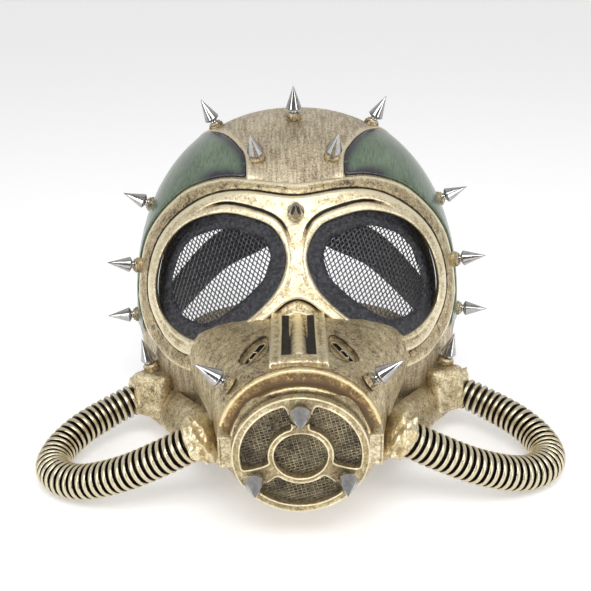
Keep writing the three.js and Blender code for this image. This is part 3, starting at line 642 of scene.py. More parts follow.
@dataclass(frozen=True)
class AntiqueGold:
    """Gold paint rubbed over a dark ground: pale on ridges, dark and speckled in recesses, with painted shade near
    black in the deepest recesses.
    """

    name: str = "antique_gold"
    pale: Colour = (0.88, 0.79, 0.56, 1)
    body: Colour = (0.50, 0.40, 0.23, 1)
    dark: Colour = (0.09, 0.07, 0.05, 1)
    # painted shade: the near black colour of the deepest recesses
    painted_pit_shade: Colour = (0.012, 0.011, 0.012, 1)
    streaks: bool = False
    speckle: float = 0.5
    gloss: float = 0.36

    def make(self) -> bpy.types.Material:
        """Builds the material."""
        s = Shader(self.name)
        wear_and_shade = s.read("wear_and_shade")
        cloud = s.grain(20, 3)
        fine = s.grain(1.1, 3, 0.6)
        coarse = s.grain(4.0, 4, 0.65)
        if self.streaks:
            coarse = s.grain(1.5, 3, 0.6, s.place((1.0, 0.12, 0.12)))
        rub = s.maths("ADD", s.maths("MULTIPLY", coarse, 0.5), s.maths("MULTIPLY", fine, 0.5))
        rub = s.span(rub, 0.34, 0.66, 0.26, 0.74)
        height = s.maths("ADD", s.span(wear_and_shade, 0, 1, -0.3, 0.3), rub)
        height = s.maths("ADD", height, s.span(cloud, 0.3, 0.7, -0.08, 0.08))
        tone = s.mix(s.span(height, 0.40, 0.68), self.body, self.pale)
        shade = s.span(height, 0.30 + 0.12 * self.speckle, 0.18 + 0.12 * self.speckle)
        spots = s.maths("MULTIPLY", s.span(s.grain(1.0, 2, 0.5), 0.54, 0.66),
                        s.span(height, 0.86, 0.44, 0.0, 0.45 + 0.45 * self.speckle))
        shade = s.maths("MAXIMUM", shade, spots)
        tone = s.mix(shade, tone, self.dark)
        # painted shade: corners whose value of rubbed paint and shade is under about 0.14 go near black
        tone = s.mix(s.span(wear_and_shade, 0.14, 0.02), tone, self.painted_pit_shade)
        s.set(base_color=tone, metallic=s.span(shade, 0, 1, 0.92, 0.4),
              roughness=s.span(height, 0.3, 0.8, 0.55, self.gloss))
        s.bump(s.maths("ADD", s.maths("MULTIPLY", fine, 0.6), coarse), 0.35)
        return s.material


@dataclass(frozen=True)
class BrushedGreen:
    """Grey-green metallic paint with brushed streaks, dark at the panel's inner edge: dark patina plus painted shade
    beside the raised ridge.
    """

    name: str = "brushed_green"
    pale: Colour = (0.17, 0.235, 0.155, 1)
    deep: Colour = (0.045, 0.078, 0.042, 1)
    rim: Colour = (0.035, 0.033, 0.045, 1)

    def make(self) -> bpy.types.Material:
        """Builds the material."""
        s = Shader(self.name)
        wear_and_shade = s.read("wear_and_shade")
        streak = s.grain(1.1, 5, 0.7, s.place((1.0, 0.1, 0.35), (0.3, 0.5, 0.0)))
        cloud = s.grain(18, 3)
        mixed = s.maths("ADD", s.maths("MULTIPLY", streak, 0.65), s.maths("MULTIPLY", cloud, 0.35))
        tone = s.mix(s.span(mixed, 0.36, 0.66), self.deep, self.pale)
        # dark patina plus painted shade along the inner edge, beside the raised gold ridge
        edge = s.maths("ADD", s.span(wear_and_shade, 0.5, 0.0), s.span(streak, 0.3, 0.7, -0.25, 0.25))
        tone = s.mix(s.span(edge, 0.2, 0.8), tone, self.rim)
        s.set(base_color=tone, metallic=0.35, roughness=s.span(streak, 0.3, 0.7, 0.22, 0.38),
              coat_weight=0.5, coat_roughness=0.14)
        s.bump(streak, 0.05)
        return s.material


@dataclass(frozen=True)
class PlainMetal:
    """A metal with a fine unevenness, such as a screwed spike's chrome or a wire's coating. It can also go dark in
    grooves, as the hose does: dark paint plus painted shade.
    """

    name: str
    colour: Colour
    dark: Colour
    metallic: float = 1.0
    rough: tuple[float, float] = (0.1, 0.2)
    grain_mm: float = 2.5
    by_wear_and_shade: bool = False

    def make(self) -> bpy.types.Material:
        """Builds the material."""
        s = Shader(self.name)
        cloud = s.grain(self.grain_mm, 4, 0.6)
        factor = s.span(cloud, 0.35, 0.65)
        # the hose's grooves go near black: dark paint plus painted shade between the ribs
        if self.by_wear_and_shade:
            height = s.maths("ADD", s.read("wear_and_shade"), s.span(cloud, 0.3, 0.7, -0.12, 0.12))
            factor = s.span(height, 0.28, 0.52)
        s.set(base_color=s.mix(factor, self.dark, self.colour), metallic=self.metallic,
              roughness=s.span(cloud, 0.3, 0.7, *self.rough))
        s.bump(cloud, 0.04)
        return s.material


@dataclass(frozen=True)
class SlateRubber:
    """The half matt, uneven black of the eye margins."""

    name: str = "slate_rubber"
    colour: Colour = (0.010, 0.010, 0.013, 1)
    pale: Colour = (0.055, 0.057, 0.07, 1)

    def make(self) -> bpy.types.Material:
        """Builds the material."""
        s = Shader(self.name)
        lumps = s.grain(1.9, 4, 0.6)
        s.set(base_color=s.mix(s.span(lumps, 0.42, 0.68), self.colour, self.pale),
              roughness=s.span(lumps, 0.3, 0.7, 0.55, 0.3))
        s.bump(lumps, 1.6)
        return s.material


@dataclass(frozen=True)
class WovenElastic:
    """Black woven elastic with ribs across its length."""

    name: str = "woven_elastic"
    colour: Colour = (0.012, 0.012, 0.014, 1)
    pale: Colour = (0.04, 0.04, 0.045, 1)
    rib_mm: float = 1.1
    yarn_mm: float = 0.9

    def make(self) -> bpy.types.Material:
        """Builds the material."""
        s = Shader(self.name)
        along = s.maths("DIVIDE", s.read("along_mm"), self.rib_mm)
        across = s.maths("DIVIDE", s.read("across_mm"), self.yarn_mm)
        rib = s.maths("SINE", s.maths("MULTIPLY", along, 2 * math.pi))
        yarn = s.maths("SINE", s.maths("MULTIPLY", across, 2 * math.pi))
        weave = s.maths("MULTIPLY", rib, s.span(yarn, -1, 1, 0.4, 1.0))
        s.set(base_color=s.mix(s.span(weave, -1, 1), self.colour, self.pale), roughness=0.85,
              sheen_weight=0.25)
        s.bump(weave, 0.25)
        return s.material


@dataclass(frozen=True)
class PaleFloor:
    """The studio's plain floor."""

    name: str = "pale_floor"
    colour: Colour = (0.86, 0.86, 0.87, 1)
    glow: float = 0.32

    def make(self) -> bpy.types.Material:
        """Builds the material."""
        s = Shader(self.name)
        s.set(base_color=self.colour, roughness=0.7, emission_color=(1, 1, 1, 1), emission_strength=self.glow)
        return s.material


@dataclass
class Finishes:
    """Every material of the mask, made once."""

    gold: bpy.types.Material = field(default_factory=lambda: AntiqueGold().make())
    gold_dome: bpy.types.Material = field(default_factory=lambda: AntiqueGold(
        "antique_gold_dome", pale=(0.74, 0.66, 0.48, 1), body=(0.42, 0.34, 0.235, 1), dark=(0.13, 0.095, 0.08, 1),
        streaks=True, speckle=0.6, gloss=0.42).make())
    # the collar's channel colour, a dark brown: painted shade
    gold_collar: bpy.types.Material = field(default_factory=lambda: AntiqueGold(
        "antique_gold_collar", pale=(0.80, 0.66, 0.38, 1), body=(0.34, 0.22, 0.09, 1), dark=(0.13, 0.08, 0.035, 1),
        painted_pit_shade=(0.10, 0.06, 0.028, 1), speckle=0.6).make())
    gold_cap: bpy.types.Material = field(default_factory=lambda: AntiqueGold(
        "antique_gold_cap", pale=(0.84, 0.74, 0.50, 1), body=(0.38, 0.30, 0.16, 1), speckle=0.1).make())
    gold_glue: bpy.types.Material = field(default_factory=lambda: AntiqueGold(
        "antique_gold_lumps", pale=(0.9, 0.8, 0.55, 1), body=(0.55, 0.43, 0.23, 1), speckle=0.35, gloss=0.22).make())
    green: bpy.types.Material = field(default_factory=lambda: BrushedGreen().make())
    chrome: bpy.types.Material = field(default_factory=lambda: PlainMetal(
        "spike_chrome", (0.50, 0.49, 0.48, 1), (0.36, 0.35, 0.34, 1), rough=(0.08, 0.15)).make())
    hose: bpy.types.Material = field(default_factory=lambda: PlainMetal(
        "hose_metal", (0.66, 0.58, 0.41, 1), (0.012, 0.011, 0.01, 1), metallic=0.9, rough=(0.24, 0.4),
        grain_mm=1.6, by_wear_and_shade=True).make())
    eye_wire: bpy.types.Material = field(default_factory=lambda: PlainMetal(
        "eye_wire", (0.10, 0.10, 0.11, 1), (0.05, 0.05, 0.055, 1), metallic=0.7, rough=(0.25, 0.4)).make())
    filter_wire: bpy.types.Material = field(default_factory=lambda: PlainMetal(
        "filter_wire", (0.50, 0.43, 0.29, 1), (0.12, 0.10, 0.075, 1), metallic=0.85, rough=(0.25, 0.45),
        grain_mm=9).make())
    slate: bpy.types.Material = field(default_factory=lambda: SlateRubber().make())
    elastic: bpy.types.Material = field(default_factory=lambda: WovenElastic().make())


def adopt(piece: bpy.types.Object, finish: bpy.types.Material, slot: str, *nodes: str) -> None:
    """Dresses a piece, makes it ride on the root body and hides the CAD nodes that it stands for.

    Args:
        piece: the finished piece.
        finish: its material.
        slot: not used.
        nodes: the CAD nodes that it replaces.
    """
    piece.data.materials.clear()
    piece.data.materials.append(finish)
    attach(piece, "root")
    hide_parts(*nodes)
    box = np.array([v.co[:] for v in piece.data.vertices])
    log.info("%s: %d faces, %s to %s mm", piece.name, len(piece.data.polygons),
             np.round(box.min(axis=0) * 1000, 1).tolist(), np.round(box.max(axis=0) * 1000, 1).tolist())


# The moulded shell

@dataclass
class DomeShell:
    """The shell's thin dome, open behind, under the chin and behind the goggles."""

    wall: float = 2.5
    around: int = 160
    down: int = 80
    rear_y: float = 8.0
    chin_z: float = -91.5
    chin_rear_y: float = -22.0
    rim_round: float = 0.7

    def build(self) -> bpy.types.Object:
        """Models the dome."""
        bpy.ops.object.select_all(action="DESELECT")
        bpy.ops.mesh.primitive_uv_sphere_add(segments=self.around, ring_count=self.down, radius=1)
        dome = bpy.context.object
        dome.name = "dome_shell"
        directions = np.array([v.co[:] for v in dome.data.vertices])
        dome.data.vertices.foreach_set("co", DOME.point(unit(directions)).ravel())
        self.trim(dome)
        thick = dome.modifiers.new("wall", "SOLIDIFY")
        thick.thickness, thick.offset = self.wall, -1
        bevel = dome.modifiers.new("rim", "BEVEL")
        bevel.width, bevel.segments, bevel.limit_method = self.rim_round, 2, "ANGLE"
        bevel.angle_limit = math.radians(60)
        apply_all(dome)
        cut(dome, self.goggle_room())
        cut(dome, self.muzzle_room())
        return with_wear_and_shade(finished(dome, 35))

    def trim(self, dome: bpy.types.Object) -> None:
        """Cuts the open dome at its rear rim, its chin edge and the surface that it rests on."""
        lean = REST_LEAN
        floor = (0, math.sin(lean), -math.cos(lean))
        planes = [
            (None, (0, self.rear_y, 0), (0, 1, 0), True),
            (None, (0, self.chin_rear_y, 0), (0, 1, 0), False),
            (lambda y: y < self.chin_rear_y, (0, 0, self.chin_z), (0, 0, -1), True),
            (lambda y: y > self.chin_rear_y, tuple(-REST_DROP * c for c in (0, -floor[1], -floor[2])), floor,
             True),
        ]
        only(dome)
        for side, place, direction, clear in planes:
            bpy.ops.object.mode_set(mode="EDIT")
            bpy.ops.mesh.select_mode(type="FACE")
            bpy.ops.mesh.select_all(action="DESELECT")
            net = bmesh.from_edit_mesh(dome.data)
            for face in net.faces:
                face.select_set(side is None or side(face.calc_center_median().y))
            net.select_flush_mode()
            bmesh.update_edit_mesh(dome.data)
            bpy.ops.mesh.bisect(plane_co=place, plane_no=direction, clear_outer=clear, use_fill=False)
            bpy.ops.object.mode_set(mode="OBJECT")

    def goggle_room(self) -> bpy.types.Object:
        """Makes the cutter for the room behind the goggles."""
        outline = grown(GOGGLES.mirrored(GOGGLES.edge_rows, 160), -self.wall)
        skin = Skin()
        skin.loft([np.stack([outline[:, 0], np.full(160, y), outline[:, 1]], axis=1) for y in (-200.0, -20.0)])
        return cutter(skin)

    def muzzle_room(self) -> bpy.types.Object:
        """Makes the cutter for the room inside the muzzle."""
        skin = Skin()
        skin.loft([MUZZLE.section(back, self.wall, 96) for back in np.linspace(4, 109, 18)])
        return cutter(skin)


def cutter(skin: Skin) -> bpy.types.Object:
    """Makes a closed cutter from a skin, in face millimetres."""
    mesh = bpy.data.meshes.new("cutter")
    mesh.from_pydata(skin.points, [], skin.faces)
    piece = bpy.data.objects.new("cutter", mesh)
    bpy.context.collection.objects.link(piece)
    finished(piece, 30, to_row=False)
    return piece


@dataclass
class PanelRidge:
    """The raised gold edge of the dome's middle strip, beside each green panel."""

    width: float = 9.0
    height: float = 1.9
    gap: float = 0.35
    across: int = 10

    def build(self, side: Side) -> bpy.types.Object:
        """Models one ridge along a panel's inner edge."""
        line = PANEL.inner_edge(200)
        line = line[line[:, 2] > 36]
        along = unit(np.gradient(line, axis=0))
        normal = DOME.normal(line)
        inward = unit(np.cross(along, normal))
        inward *= np.sign(np.sum(inward * [-1, 0, 0], axis=1, keepdims=True))
        rows = [(self.gap, -1.0, 0.1), (self.gap, 0.9, 0.2), (self.gap + 0.3, 1.55, 0.9),
                (self.gap + 0.9, self.height, 1.0), (self.gap + 1.8, self.height - 0.1, 0.8),
                (self.gap + 3.2, 1.45, 0.55), (self.gap + 5.5, 0.8, 0.5), (self.width, 0.05, 0.5),
                (self.width, -1.0, 0.5)]
        skin = Skin()
        rings, wear_and_shade = [], [row[2] for row in rows]
        for i, point in enumerate(line):
            fade = min(1.0, (i + 1) / 8, (len(line) - i) / 8)
            section = []
            for reach, lift, _ in rows:
                spot = point + inward[i] * reach
                base = DOME.point(unit(spot - [0, 0, DOME.centre_z]))
                section.append(base + normal[i] * (lift if lift < 0 else lift * fade))
            rings.append(np.array(section) * [side.value, 1, 1])
        skin.loft(rings, [wear_and_shade] * len(rings))
        return skin.build(f"panel_ridge_{side.word}", 50)


@dataclass
class GoggleFrame:
    """The raised frame round both eyes: outer band, bright band, grooves and eye rings."""

    steps: int = 480
    eye_steps: int = 220
    ring: float = 4.6
    groove: float = 1.3
    wall: float = 2.5

    def build(self) -> bpy.types.Object:
        """Models the whole frame as one closed piece."""
        skin = Skin()
        edge = GOGGLES.mirrored(GOGGLES.edge_rows, self.steps)
        band = GOGGLES.mirrored(GOGGLES.band_rows, self.steps)
        inner = grown(edge, -self.wall)
        base = self.set_back(edge, DOME.front(edge[:, 0], edge[:, 1], -2.5))
        rows = [skin.ring(base, 0.2)]
        for inset, lift, wear_and_shade in ((0, -2.2, 0.2), (0.05, -1.2, 0.45), (0.3, -0.5, 0.85), (0.8, -0.1, 0.95),
                                  (1.4, 0.0, 0.8), (2.0, 0.0, 0.45)):
            rows.append(skin.ring(GOGGLES.low(grown(edge, -inset), lift), wear_and_shade))
        for share, lift, wear_and_shade in ((0.3, 0.35, 0.33), (0.5, 0.5, 0.3), (0.7, 0.45, 0.33)):
            flat = grown(edge, -2.0) * (1 - share) + grown(band, 1.1) * share
            rows.append(skin.ring(GOGGLES.low(flat, lift), wear_and_shade))
        # the groove round the bright band takes values near 0, which the gold finish paints near black: painted shade
        for grow, lift, wear_and_shade in ((1.1, 0.25, 0.3), (0.75, -0.2, 0.08), (0.35, -0.45, 0.0), (0.05, -0.2, 0.05)):
            rows.append(skin.ring(GOGGLES.low(grown(band, grow), lift), wear_and_shade))
        for inset, lift, wear_and_shade in ((0.15, -1.4, 0.55), (0.4, -0.6, 0.95), (0.9, -0.15, 1.0), (1.6, 0.0, 0.9),
                                  (2.4, 0.0, 0.7)):
            rows.append(skin.ring(GOGGLES.high(grown(band, -inset), lift), wear_and_shade))
        for low, high in zip(rows, rows[1:]):
            skin.band(low, high)
        loops, flats = [rows[-1]], [grown(band, -2.4)]
        back_loops, back_flats = [], []
        for side in Side:
            rings = []
            back = GOGGLES.eye(side, 0, self.eye_steps)
            share = self.room(back, side, grown(band, -3.0))
            fade = np.clip((share - 0.66) / 0.3, 0, 1)
            for grow, lift, wear_and_shade in self.eye_profile():
                flat = grown(back, grow * share)
                deep = fade if grow > self.ring - 0.4 else np.ones(len(fade))
                points = GOGGLES.high(flat, lift) * deep[:, None] + GOGGLES.high(flat) * (1 - deep)[:, None]
                rings.append(skin.ring(points, (wear_and_shade * deep + 0.62 * (1 - deep)).tolist()))
            rings.append(skin.ring(GOGGLES.low(back, -self.wall), 0.2))
            for low, high in zip(rings, rings[1:]):
                skin.band(low, high)
            loops.append(rings[0])
            flats.append(grown(back, self.eye_profile()[0][0] * share))
            back_loops.append(rings[-1])
            back_flats.append(back)
        skin.fill(loops, flats, 1.7, lambda flat: GOGGLES.high(flat), 0.62)
        low_back = skin.ring(GOGGLES.low(inner, -self.wall), 0.2)
        step_back = skin.ring(self.set_back(inner, DOME.front(inner[:, 0], inner[:, 1], -2.5)), 0.2)
        skin.band(rows[0], step_back)
        skin.band(step_back, low_back)
        skin.fill([low_back, *back_loops], [inner, *back_flats], 4.0,
                  lambda flat: GOGGLES.low(flat, -self.wall), 0.2)
        return skin.build("goggle_frame", 50)

    def room(self, outline: Points, side: Side, bound: Points) -> np.ndarray:
        """Tells how much of the eye ring's full width has room at each point of an eye opening.

        Args:
            outline: the eye opening.
            side: the eye's side.
            bound: the outline that the ring stays inside.

        Returns:
            A share for each point of the opening.
        """
        reach = self.eye_profile()[0][0]
        limit = np.full(len(outline), reach)
        for grow in np.arange(reach, 0.8, -0.15):
            moved = grown(outline, grow)
            clear = inside(moved, bound) & (moved[:, 0] * side.value > 1.0)
            limit = np.where(clear, limit, grow - 0.15)
        limit = np.min([np.roll(limit, k) for k in range(-4, 5)], axis=0)
        return np.mean([np.roll(limit, k) for k in range(-4, 5)], axis=0) / reach

    def eye_profile(self) -> list[tuple[float, float, float]]:
        """Gives the rows from the bright band in to the eye opening: growth, lift and value of rubbed paint and
        shade, near 0 as painted shade in the groove round the eye ring.
        """
        rim = self.ring + self.groove
        return [(rim + 1.3, 0.0, 0.7), (rim + 0.7, -0.05, 0.85), (rim + 0.3, -0.3, 0.6), (rim, -0.9, 0.1),
                (rim - 0.3, -1.5, 0.0), (self.ring + 0.3, -1.5, 0.0), (self.ring, -0.8, 0.1),
                (self.ring - 0.35, -0.1, 0.55), (self.ring - 1.0, 0.4, 0.8), (2.6, 0.65, 0.75), (1.6, 0.55, 0.6),
                (0.8, 0.25, 0.7), (0.3, -0.25, 0.8), (0.05, -1.0, 0.5), (0.0, -2.2, 0.2)]

    def set_back(self, flat: Points, y: np.ndarray) -> Points:
        """Puts flat points at given places back."""
        return np.stack([flat[:, 0], y, flat[:, 1]], axis=1)


@dataclass
class MuzzleShell:
    """The muzzle's drum with the collar over the cap, side tabs, nose plate and vents."""

    wall: float = 2.5
    around: int = 144
    lip_half_angle: float = 76.0
    plate_half: float = 13.6
    plate_front: float = 20.0
    plate_rear: float = 86.0
    recess_half: float = 8.0
    rib_radius: float = 4.3
    rib_sink: float = 1.4
    tab: tuple[float, float, float] = (7.5, 15.0, 16.5)
    vent_corners: tuple[tuple[float, float], ...] = (
        (14.4, 63.0), (14.4, 35.0), (21.5, 30.0), (31.0, 40.0))
    vent_slats: tuple[tuple[float, float, float], ...] = ((19.6, 43.5, 15), (22.6, 38.5, 10.5))
    vent_turn: float = 24.0

    def drum(self) -> bpy.types.Object:
        """Models the drum's wall."""
        backs = np.concatenate([np.linspace(MUZZLE.front, 24, 14), np.linspace(26, 108, 26)])
        skin = Skin()
        outer = [skin.ring(MUZZLE.section(back, 0, self.around), 0.36) for back in backs]
        inner = [skin.ring(MUZZLE.section(back, self.wall, self.around), 0.2) for back in backs]
        for rows in (outer, inner):
            for low, high in zip(rows, rows[1:]):
                skin.band(low, high)
        skin.band(outer[0], inner[0])
        skin.band(outer[-1], inner[-1])
        return skin.build("muzzle_drum", 35)

    def collar(self) -> bpy.types.Object:
        """Models the collar: step, hollow channel painted dark brown as shade, and bright lip."""
        # rows: radius, place back, and value of rubbed paint and shade; the low values in the channel give painted
        # shade
        rows = [(28.5, 5.6, 0.3), (31.3, 5.6, 0.5), (31.9, 5.75, 0.85), (32.4, 6.2, 0.7), (32.6, 7.0, 0.1),
                (33.0, 8.6, 0.02), (33.9, 10.2, 0.1), (35.2, 11.3, 0.2), (36.3, 11.7, 0.35), (36.9, 11.6, 0.8),
                (37.4, 11.75, 1.0), (37.85, 12.2, 1.0), (38.0, 13.0, 0.7), (38.0, 14.6, 0.3), (37.2, 16.5, 0.2),
                (34.2, 21.0, 0.2), (28.5, 21.0, 0.2)]
        skin = Skin()
        rings, wear_and_shade = [], []
        for angle in np.linspace(-self.lip_half_angle, self.lip_half_angle, 150):
            turn = math.radians(angle)
            rings.append(MUZZLE.out(np.array([
                [math.sin(turn) * radius, back, math.cos(turn) * radius] for radius, back, _ in rows])))
            wear_and_shade.append([row[2] for row in rows])
        skin.loft(rings, wear_and_shade)
        return skin.build("muzzle_collar", 50)

    def tabs(self, side: Side) -> bpy.types.Object:
        """Models one block beside the cap, with its bright top edge."""
        width, depth, height = self.tab
        top = math.cos(math.radians(self.lip_half_angle)) * 38 - 3
        bpy.ops.object.select_all(action="DESELECT")
        bpy.ops.mesh.primitive_cube_add(size=1)
        block = bpy.context.object
        block.name = f"muzzle_tab_{side.word}"
        block.data.transform(Matrix.Diagonal((width, depth, height, 1)))
        block.data.transform(Matrix.Translation(
            (side.value * (31 + width / 2 - 1), 7 + depth / 2, top - height / 2)))
        bpy.ops.object.mode_set(mode="EDIT")
        bpy.ops.mesh.select_mode(type="FACE")
        bpy.ops.mesh.select_all(action="DESELECT")
        net = bmesh.from_edit_mesh(block.data)
        for face in net.faces:
            face.select_set(face.normal.y < -0.9)
        bmesh.update_edit_mesh(block.data)
        bpy.ops.mesh.inset(thickness=0.9, depth=0)
        bpy.ops.mesh.inset(thickness=0.4, depth=-0.7)
        bpy.ops.object.mode_set(mode="OBJECT")
        bevel = block.modifiers.new("edges", "BEVEL")
        bevel.width, bevel.segments, bevel.limit_method = 0.45, 3, "ANGLE"
        apply_all(block)
        block.data.transform(MUZZLE.matrix)
        finished(block, 40)
        return with_wear_and_shade(block, 0.55)

    def nose_plate(self) -> bpy.types.Object:
        """Models the plate under the nose, its recess and the half-round rib in it."""
        arc = [math.radians(a) for a in (22, 34, 46, 58, 70, 80, 90)]
        rib = [(self.rib_radius * math.cos(a), -self.rib_sink + self.rib_radius * math.sin(a),
                1.05 * math.sin(a) ** 4) for a in arc]
        raised = [(self.plate_half, -6.0, 0.2), (self.plate_half, 1.4, 0.4), (self.plate_half - 0.3, 2.1, 0.9),
                  (self.plate_half - 0.9, 2.5, 1.0), (self.plate_half - 1.6, 2.35, 0.6),
                  (10.2, 2.2, 0.42), (self.recess_half + 1.3, 2.35, 0.6), (self.recess_half + 0.6, 2.55, 1.0),
                  (self.recess_half + 0.15, 2.2, 0.9)]
        # the recess floor takes the value 0, which the gold finish paints near black: painted shade
        sunk = [(self.recess_half - 0.02, 0.5, 0.0), (self.recess_half - 0.3, 0.22, 0.0), (5.8, 0.2, 0.0),
                (4.6, 0.2, 0.0)]
        half = raised + sunk + rib
        backs = np.concatenate([[self.plate_front, self.plate_front + 0.01, self.plate_front + 0.5,
                                 self.plate_front + 1.2], np.linspace(22.5, 27.4, 4),
                                [27.8, 28.1, 28.5], np.linspace(30, self.plate_rear, 26)])
        rings, wear_and_shade = [], []
        for i, back in enumerate(backs):
            sink = float(np.clip((back - 27.6) / 0.6, 0, 1))
            round_off = {0: -6.0, 1: -1.2, 2: -0.35, 3: -0.05}.get(i, 0.0)
            section, tone = [], []
            for x, lift, w in half:
                flat_lift = lift if x >= self.recess_half else 2.25
                flat_wear_and_shade = w if x >= self.recess_half else 0.5
                if x <= self.rib_radius:
                    lift -= 2.6 * float(np.clip((back - 45) / 33, 0, 1)) ** 1.5
                section.append((x, flat_lift * (1 - sink) + lift * sink))
                tone.append(flat_wear_and_shade * (1 - sink) + w * sink)
            tops = [MUZZLE.top(max(x, self.recess_half - 1.5) if x > self.rib_radius else 0, back)
                    for x, _ in section]
            places = [(x, max(top + lift + (round_off if lift > 0 else 0), top - 6.0))
                      for (x, lift), top in zip(section, tops)]
            ring = places + [(-x, height) for x, height in places[:-1]][::-1]
            rings.append(MUZZLE.out(np.array([[x, back, height] for x, height in ring])))
            wear_and_shade.append(tone + tone[:-1][::-1])
        skin = Skin()
        skin.loft(rings, wear_and_shade)
        return skin.build("nose_plate", 45)

    def vent(self, side: Side) -> tuple[bpy.types.Object, list[bpy.types.Object]]:
        """Makes the cutter for one vent's recess, whose walls come out near black as painted shade, and its two
        bright-edged slats.

        Returns:
            The cutter, and the slats.
        """
        corners = np.array(self.vent_corners) * [side.value, 1]
        outline = rounded(corners, 2)
        middle = outline.mean(axis=0)
        skin = Skin()
        rows = [(8.0, 1.0), (-1.9, 1.0), (-1.9, 0.66), (-1.9, 0.33)]
        rings = []
        for depth, share in rows:
            flat = middle + (outline - middle) * share
            rings.append(skin.ring(MUZZLE.out(np.array([
                [x, y, MUZZLE.top(x, y) + depth] for x, y in flat]))))
        for low, high in zip(rings, rings[1:]):
            skin.band(low, high)
        skin.cap(rings[0])
        skin.cap(rings[-1])
        slats = [self.slat(side, *row, f"vent_slat_{side.word}_{i + 1}")
                 for i, row in enumerate(self.vent_slats)]
        return cutter(skin), slats

    def slat(self, side: Side, x: float, y: float, length: float, name: str) -> bpy.types.Object:
        """Models one long thin ring that stands in a vent's recess."""
        turn = math.radians(self.vent_turn)
        along = np.array([-math.sin(turn) * side.value, math.cos(turn)])
        across = np.array([along[1], -along[0]])
        middle = np.array([x * side.value, y])
        outer = np.array([along * (length / 2 * u) + across * (1.9 * v) for u, v in
                          ((-1, -1), (0, -1), (1, -1), (1, 1), (0, 1), (-1, 1))])
        outer = rounded(outer, 3)
        skin = Skin()
        rings = []
        # the slats' feet take the value 0 and go near black: painted shade
        for grow, lift, wear_and_shade in ((0, -3.2, 0.0), (0, -0.9, 0.4), (-0.1, -0.6, 1.0), (-0.4, -0.6, 1.0),
                                 (-0.5, -0.9, 0.1), (-0.5, -1.8, 0.0)):
            flat = grown(outer, grow) + middle
            rings.append(skin.ring(MUZZLE.out(np.array([
                [p[0], p[1], MUZZLE.top(p[0], p[1]) + lift] for p in flat])), wear_and_shade))
        for low, high in zip(rings, rings[1:]):
            skin.band(low, high)
        skin.cap(rings[-1])
        skin.cap(rings[0])
        return skin.build(name, 50)


@dataclass
class HoseSeat:
    """The cheek block, the cheek bar and the lumpy beads that hold a hose's two ends."""

    radius: float = 10.6
    length: float = 9.0
    lug: tuple[float, float, float] = (21.0, 27.0, 25.0)
    lug_centre: tuple[float, float, float] = (80.0, -51.0, -76.5)
    lug_turn: float = 0.42
    lug_tilt: float = 0.12
    sections: tuple[tuple[float, float, float, float, float], ...] = (
        (78, -54, -84, 9, 21), (58, -92, -85, 9, 22), (38, -128, -86, 6, 20))
    shape: tuple[tuple[float, float], ...] = ((-1, -1), (1, -1), (1, 0.2), (0, 1), (-1, 1))

    def block(self, side: Side) -> bpy.types.Object:
        """Models the rounded block on the cheek."""
        bpy.ops.object.select_all(action="DESELECT")
        bpy.ops.mesh.primitive_cube_add(size=1)
        lug = bpy.context.object
        lug.name = f"cheek_block_{side.word}"
        bpy.ops.object.mode_set(mode="EDIT")
        bpy.ops.mesh.subdivide(number_cuts=2)
        bpy.ops.object.mode_set(mode="OBJECT")
        lug.data.transform(Matrix.Diagonal((*self.lug, 1)))
        bevel = lug.modifiers.new("edges", "BEVEL")
        bevel.width, bevel.segments, bevel.limit_method = 3.0, 4, "ANGLE"
        smooth = lug.modifiers.new("smooth", "SUBSURF")
        smooth.levels = smooth.render_levels = 2
        apply_all(lug)
        turn = (Matrix.Rotation(side.value * -self.lug_tilt, 4, "Y")
                @ Matrix.Rotation(side.value * self.lug_turn, 4, "Z"))
        x, y, z = self.lug_centre
        lug.data.transform(Matrix.Translation((side.value * x, y, z)) @ turn)
        return with_wear_and_shade(finished(lug, 50), 0.45)

    def bar(self, side: Side) -> bpy.types.Object:
        """Models the raised facet that runs from the cheek to the muzzle."""
        rows = np.array(self.sections, float)
        shares = np.linspace(0, 1, 12)
        table = np.stack([np.interp(shares, [0, 0.5, 1], rows[:, k]) for k in range(5)], axis=1)
        outline = rounded(np.array(self.shape, float), 2)
        rings = []
        for x, y, z, width, height in table:
            rings.append(np.array([[side.value * (x + a * width), y + a * width * 0.4, z + u * height / 2]
                                   for a, u in outline]))
        skin = Skin()
        skin.loft(rings, [0.4] * len(rings))
        return skin.build(f"cheek_bar_{side.word}", 45)

    def bead(self, side: Side, start: Points, away: Points, name: str, seed: float) -> bpy.types.Object:
        """Models one lumpy bead round a hose's end.

        Args:
            side: not used.
            start: the hose's end.
            away: the direction in which the hose would go on.
            name: the piece's name.
            seed: shifts the lumps.
        """
        bpy.ops.object.select_all(action="DESELECT")
        bpy.ops.mesh.primitive_uv_sphere_add(segments=72, ring_count=40, radius=1)
        bead = bpy.context.object
        bead.name = name
        turn = Vector(away).to_track_quat("Z", "Y").to_matrix()
        places = []
        for corner in bead.data.vertices:
            spot = corner.co.copy()
            lumps = noise.noise(spot * 2.3 + Vector((seed, 0, 0))) * 0.3 + noise.noise(spot * 5.0) * 0.12
            reach = (1 + lumps) * (max(1 - abs(spot.z) ** 2.6, 0) ** (1 / 2.6) / max(math.hypot(spot.x, spot.y), 1e-6)
                                   if abs(spot.z) < 0.999 else 0)
            round_ = Vector((spot.x * reach * (self.radius + 1.0), spot.y * reach * (self.radius + 1.0),
                             spot.z * (self.length * 0.78)))
            places.extend(Vector(start) + turn @ (round_ + Vector((0, 0, self.length * 0.28))))
        bead.data.vertices.foreach_set("co", places)
        return with_wear_and_shade(finished(bead, 60), 0.6)


# Panels, eyes and filter

